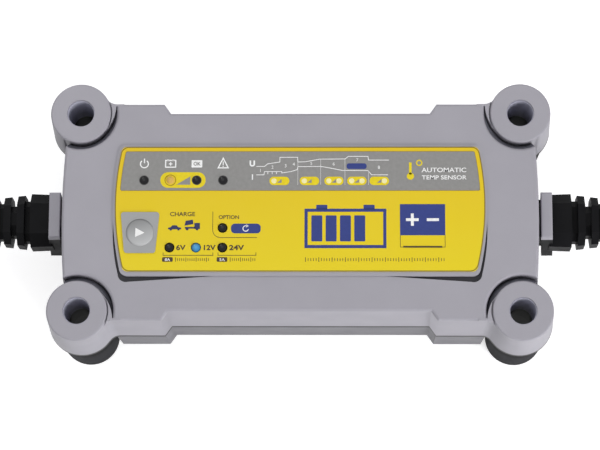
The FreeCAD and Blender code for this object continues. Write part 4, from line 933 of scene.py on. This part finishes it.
class CHARGER_OT_lamps(BuildStep, Operator):
    """Lamp domes, one of them lit"""

    bl_idname = "charger.lamps"
    bl_label = "Lamps"

    def build(self):
        finish = settings().finish
        dark = lamp_dome("lamp_black", (0.003, 0.003, 0.004))
        smooth_node("status_lamps", "lamp_domes", dark, sharp=ROUND_PART_ANGLE)
        amber = lamp_dome("lamp_amber", finish.amber_lamp)
        smooth_node("charge_lamp", "charge_lamp_dome", amber, sharp=ROUND_PART_ANGLE)
        ring = ink("lamp_ring_ink", (0.30, 0.15, 0.01))
        socket = ink("lamp_socket_ink", (0.05, 0.05, 0.05))
        rings("charge_lamp_ring", [(LAMP_X[1], STATUS_Y, 2.25)], 2, 0.3 * MM, ring)
        power, _, full, fault = [(x, STATUS_Y, 1.87) for x in LAMP_X]
        rings("lamp_sockets", [power, fault], 1, 0.35 * MM, socket)
        rings("full_lamp_socket", [full], 2, 0.35 * MM, socket)
        lit = lit_dome(finish.lit_lamp, top_middle("voltage_lamp_lit"))
        smooth_node("voltage_lamp_lit", "lit_lamp_dome", lit, sharp=ROUND_PART_ANGLE)


class CHARGER_OT_mode_key(BuildStep, Operator):
    """Mode key, its frame and its switch"""

    bl_idname = "charger.mode_key"
    bl_label = "Mode key"

    def build(self):
        grey = settings().finish.key_grey
        membrane = housing_plastic("key_grey", grey)
        smooth_node("button_bezel", "key_frame", membrane)
        middle = Vector(top_middle("mode_button"))
        smooth_node("mode_button", "key_dome", key_dome_plastic(grey, middle), KEY_BODY)
        key_skirt(middle, membrane)
        dress(small_part("switch_black", (0.02, 0.02, 0.02)), "switch_plunger", "mode_switch")
        height = settings().print.ink_height
        x = middle.x / MM
        y = middle.y / MM
        bm = bmesh.new()
        arrow = [(x - 1.9, y - 2.0), (x + 2.0, y - 0.2), (x - 1.8, y + 1.9)]
        add_plate(bm, arrow, middle.z - 4 * height, 5 * height)
        mesh_piece("key_arrow", bm, inks("white")[0], KEY_BODY)


def key_skirt(middle, material):
    """A thin ring of film over the gap round the key."""
    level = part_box("button_bezel")[1][2] + 0.02 * MM
    bm = bmesh.new()
    add_arc(bm, middle.x / MM, middle.y / MM, level, KEY_RADIUS / MM + 0.1, 64)
    widened("key_skirt", bm, 0.03 * MM, 0.6 * MM, material)


# Leads: each route repeats the solid's points, then a loop gives the coil's turns

GLAND_HEIGHT = 0.042
BOOT_END = 0.1515
MAINS_ROUTE = [(0.022, 0.0, 0.042), (0.0455, -0.012, 0.031), (0.052, -0.0363, 0.0123)]
MAINS_ROUTE += [(0.072, -0.050, 0.00415), (0.097, -0.050, 0.00415)]
OUTPUT_ROUTE = [(0.023, 0.0, 0.042), (0.046, -0.0125, 0.032), (0.0534, -0.0383, 0.0128)]
OUTPUT_ROUTE += [(0.0744, -0.052, 0.0044), (0.099, -0.052, 0.0044)]
MAINS_TAIL = [(-0.014, 0.0, 0.01125), (-0.034, -0.004, 0.0068), (-0.050, -0.004, 0.0068)]
OUTPUT_TAIL = [(-0.014, 0.0, 0.012), (-0.034, -0.004, 0.006), (-0.050, -0.004, 0.006)]
POINTS_PER_HALF_TURN = 8


def coil_turns(start, side, diameter):
    """Control points of a coil's loops from its start, and the place where it ends.

    The loops spiral in on the floor, climb in the half turn where they turn back, and spiral out on top.
    """
    leads = settings().leads
    half_turns = leads.half_turns
    pitch = diameter + leads.coil_gap
    layer = half_turns // 2
    outer = leads.inner_diameters * diameter + layer * pitch / 2
    centre = start + Vector((side * diameter, outer, 0))
    stops = []
    for count in range(half_turns + 1):
        steps_in = half_turns - count if count > layer + 1 else count
        way = 1 if count % 2 else -1
        height = pitch if count > layer else 0.0
        stops.append(centre + Vector((0, way * (outer - steps_in * pitch / 2), height)))
    outside_the_arc = 1 / math.cos(math.pi / POINTS_PER_HALF_TURN / 2)
    points = []
    for here, there in zip(stops, stops[1:]):
        middle = (here + there) / 2
        arm = (here - middle) * outside_the_arc
        for place in range(POINTS_PER_HALF_TURN):
            share = (place + 0.5) / POINTS_PER_HALF_TURN
            point = middle + Matrix.Rotation(side * math.pi * share, 3, "Z") @ arm
            point.z = here.z + (there.z - here.z) * share
            points.append(point)
    return points, stops[-1] - Vector((side * diameter, 0, 0))


def make_lead(name, side, route, tail, diameter, material):
    """One lead from its boot through its coil to its plug, as one smooth curve."""
    start = Vector((side * BOOT_END, 0.0, GLAND_HEIGHT))
    points = [start] + [Vector((start.x + side * x, y, z)) for x, y, z in route]
    turns, coil_end = coil_turns(points[-1], side, diameter)
    points += turns
    points += [Vector((coil_end.x + side * x, coil_end.y + y, z)) for x, y, z in tail]
    curve = bpy.data.curves.new(name, "CURVE")
    curve.dimensions = "3D"
    curve.bevel_depth = diameter / 2
    curve.bevel_resolution = 5
    curve.resolution_u = 6
    curve.use_fill_caps = True
    spline = curve.splines.new("NURBS")
    spline.points.add(len(points) - 1)
    for control, point in zip(spline.points, points):
        control.co = (*point, 1.0)
    spline.order_u = 3
    spline.use_endpoint_u = True
    return finish_piece(place_object(name, curve), material), start


class CHARGER_OT_leads(BuildStep, Operator):
    """Mains lead and output lead, each put away as a tied coil"""

    bl_idname = "charger.leads"
    bl_label = "Leads"

    def build(self):
        finish = settings().finish
        sizes = settings().leads
        sheath = moulded_rubber("lead_sheath", finish.sheath, 0.34, 0.44)
        shell = small_part("plug_shell", finish.sheath, 0.38)
        pins = plated_metal("plug_pins", (0.78, 0.76, 0.70), 0.22)
        strap = small_part("tie_strap", (0.03, 0.03, 0.03), 0.6)
        plug = [
            smooth_node("plug_body", "mains_plug", shell, edge=0.4 * MM),
            smooth_node("plug_pins", "mains_plug_pins", pins, sharp=ROUND_PART_ANGLE),
            smooth_node("mains_ties", "mains_straps", strap),
        ]
        connector = [
            smooth_node("connector_body", "output_connector", shell, edge=0.3 * MM),
            smooth_node("connector_contacts", "output_contacts", pins, sharp=ROUND_PART_ANGLE),
            smooth_node("output_ties", "output_straps", strap),
        ]
        thin = sizes.mains_diameter
        thick = sizes.output_diameter
        leads = (
            ("mains", -1, MAINS_ROUTE, MAINS_TAIL, thin, 1.450, "plug", plug),
            ("output", 1, OUTPUT_ROUTE, OUTPUT_TAIL, thick, 1.549, "connector", connector),
        )
        for end, side, route, tail, diameter, total, far_end, pieces in leads:
            lead, boot_end = make_lead(end + "_cable", side, route, tail, diameter, sheath)
            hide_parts(end + "_lead", end + "_coil")


class CHARGER_OT_inside(BuildStep, Operator):
    """Boards and parts inside the housing"""

    bl_idname = "charger.inside"
    bl_label = "Inside"

    def build(self):
        solder_mask = mottled("circuit_board", (0.015, 0.16, 0.05), 0.35, 0.35, 420.0)
        dress(solder_mask, "display_board", "main_board")
        zinc = plated_metal("zinc_screws", (0.62, 0.63, 0.65), 0.35)
        dress(zinc, "housing_screws", "board_screws", "display_screws")
        copper = plated_metal("copper_wire", (0.70, 0.32, 0.14), 0.35)
        dress(copper, "mains_choke", "transformer_winding")
        aluminium = plated_metal("heatsink_metal", (0.72, 0.73, 0.75), 0.40)
        dress(aluminium, "primary_heatsink", "output_heatsink")
        sleeve = small_part("capacitor_sleeve", (0.012, 0.016, 0.045), 0.3)
        dress(sleeve, "bulk_capacitor", "output_capacitors")
        dress(small_part("film_capacitor", (0.66, 0.40, 0.02), 0.35), "filter_capacitor")
        dress(small_part("ferrite", (0.035, 0.035, 0.038), 0.7), "transformer_core")
        dress(small_part("wire_blue", (0.02, 0.06, 0.30), 0.4), "mains_wires", "output_wires")
        dress(small_part("ribbon_grey", (0.32, 0.32, 0.34)), "ribbon_cable")
        dress(small_part("fuse_white", (0.75, 0.75, 0.72), 0.3), "mains_fuse")
        black = small_part("part_black", (0.015, 0.015, 0.016))
        dress(black, "bridge_rectifier", "primary_transistors", "output_transistors", "output_relay")
        dress(black, "control_chips", "temperature_sensor", "ribbon_header")


# Studio: the camera, the floor, the world and the lights

CAMERA_TARGET = Vector((0.07 * MM, -5.95 * MM, 65.0 * MM))
LIGHT_TARGET = Vector((0.0, 0.0, 0.04))
FLOOR_REACH = 3.0
FLOOR_GAP = 0.2 * MM


class CHARGER_OT_studio(BuildStep, Operator):
    """Pale floor, soft lights and the camera"""

    bl_idname = "charger.studio"
    bl_label = "Studio"

    def build(self):
        studio = settings().studio
        place_camera(studio)
        lay_floor()
        set_world(studio.ambient)
        light_charger(studio)
        bpy.context.scene.view_settings.view_transform = "Standard"


def place_camera(studio):
    """Looks at the panel's middle from the given direction."""
    turn = Matrix.Rotation(studio.azimuth, 4, "Z")
    tilt = Matrix.Rotation(math.pi / 2 - studio.elevation, 4, "X")
    roll = Matrix.Rotation(studio.roll, 4, "Z")
    away = Matrix.Translation((0.0, 0.0, studio.distance))
    camera = place_object("camera", bpy.data.cameras.new("camera"))
    camera.data.lens = studio.lens
    camera.matrix_world = Matrix.Translation(CAMERA_TARGET) @ turn @ tilt @ roll @ away
    bpy.context.scene.camera = camera


def seen_white(tree, camera_share, mirror_share):
    """A socket with one share for camera rays and one for rays that a glossy or clear surface sends."""
    path = add_node(tree, "LightPath", {})
    both = {0: path["Is Glossy Ray"], 1: path["Is Transmission Ray"]}
    mirrored = add_node(tree, "Math", both, "MAXIMUM")["Value"]
    reflected = add_node(tree, "Math", {0: mirrored, 1: mirror_share}, "MULTIPLY")["Value"]
    shares = {0: path["Is Camera Ray"], 1: camera_share, 2: reflected}
    return add_node(tree, "Math", shares, "MULTIPLY_ADD")["Value"]


def lay_floor():
    """A wide pale floor that shows white and keeps a faint shadow."""
    bm = bmesh.new()
    bmesh.ops.create_grid(bm, x_segments=1, y_segments=1, size=FLOOR_REACH)
    floor = place_object("floor", to_mesh("floor", bm))
    floor.location.z = -FLOOR_GAP
    material = new_material("floor_white", (0.80, 0.80, 0.81), 0.9)
    tree, shader = parts_of(material)
    shader.inputs["Emission Color"].default_value = (1.0, 1.0, 1.0, 1.0)
    glow = seen_white(tree, camera_share=0.60, mirror_share=0.15)
    tree.links.new(glow, shader.inputs["Emission Strength"])
    floor.data.materials.append(material)


def set_world(strength):
    """Even white light, and a white backdrop for the camera and in reflections."""
    world = bpy.data.worlds.new("studio")
    world.use_nodes = True
    bpy.context.scene.world = world
    tree = world.node_tree
    background = tree.nodes["Background"]
    background.inputs["Color"].default_value = (1.0, 1.0, 1.0, 1.0)
    brightest = add_node(tree, "Math", {0: seen_white(tree, 1.0, 1.0), 1: strength}, "MAXIMUM")
    tree.links.new(brightest["Value"], background.inputs["Strength"])


def area_light(name, power, size, place):
    """A round light that points at the charger."""
    lamp = bpy.data.lights.new(name, "AREA")
    lamp.energy = power
    lamp.shape = "DISK"
    lamp.size = size
    light = place_object(name, lamp)
    light.location = place
    light.rotation_euler = (Vector(place) - LIGHT_TARGET).to_track_quat("Z", "Y").to_euler()
    return light


def light_charger(studio):
    """A soft and a small light in front on the right, a wide one overhead and one low behind.

    The soft one would wash the face out in reflections, so it is left to the small one to give them.
    """
    front = (0.85, -0.92, 0.55)
    soft = area_light("front_light", studio.key_power, size=0.8, place=front)
    soft.visible_glossy = False
    area_light("highlight_light", studio.highlight_power, size=0.16, place=front)
    area_light("top_light", studio.fill_power, size=1.2, place=(-0.25, 0.45, 1.25))
    area_light("back_light", studio.back_power, size=0.35, place=(-0.55, 0.95, 0.62))


STEPS = (
    CHARGER_OT_studio,
    CHARGER_OT_leads,
    CHARGER_OT_shells,
    CHARGER_OT_corners,
    CHARGER_OT_boots,
    CHARGER_OT_panel_film,
    CHARGER_OT_status_print,
    CHARGER_OT_charging_curves,
    CHARGER_OT_sensor_print,
    CHARGER_OT_mode_print,
    CHARGER_OT_field_print,
    CHARGER_OT_lamps,
    CHARGER_OT_mode_key,
    CHARGER_OT_inside,
)


class CHARGER_PT_builder(Panel):
    """Lists the steps that dress the charger"""

    bl_idname = "CHARGER_PT_builder"
    bl_label = "Charger"
    bl_space_type = "VIEW_3D"
    bl_region_type = "UI"
    bl_category = "Charger"

    def draw(self, context):
        for step in STEPS:
            self.layout.operator(step.bl_idname)


GROUPS = (ChargerFinish, ChargerPrint, ChargerLeads, ChargerStudio, ChargerSettings)
CLASSES = (*GROUPS, *STEPS, CHARGER_PT_builder)


def register():
    for cls in CLASSES:
        bpy.utils.register_class(cls)
    bpy.types.Scene.charger = PointerProperty(type=ChargerSettings)


def unregister():
    del bpy.types.Scene.charger
    for cls in reversed(CLASSES):
        bpy.utils.unregister_class(cls)


def main():
    register()
    for step in STEPS:
        group, operator = step.bl_idname.split(".")
        getattr(getattr(bpy.ops, group), operator)()


if __name__ == "__main__":
    main()
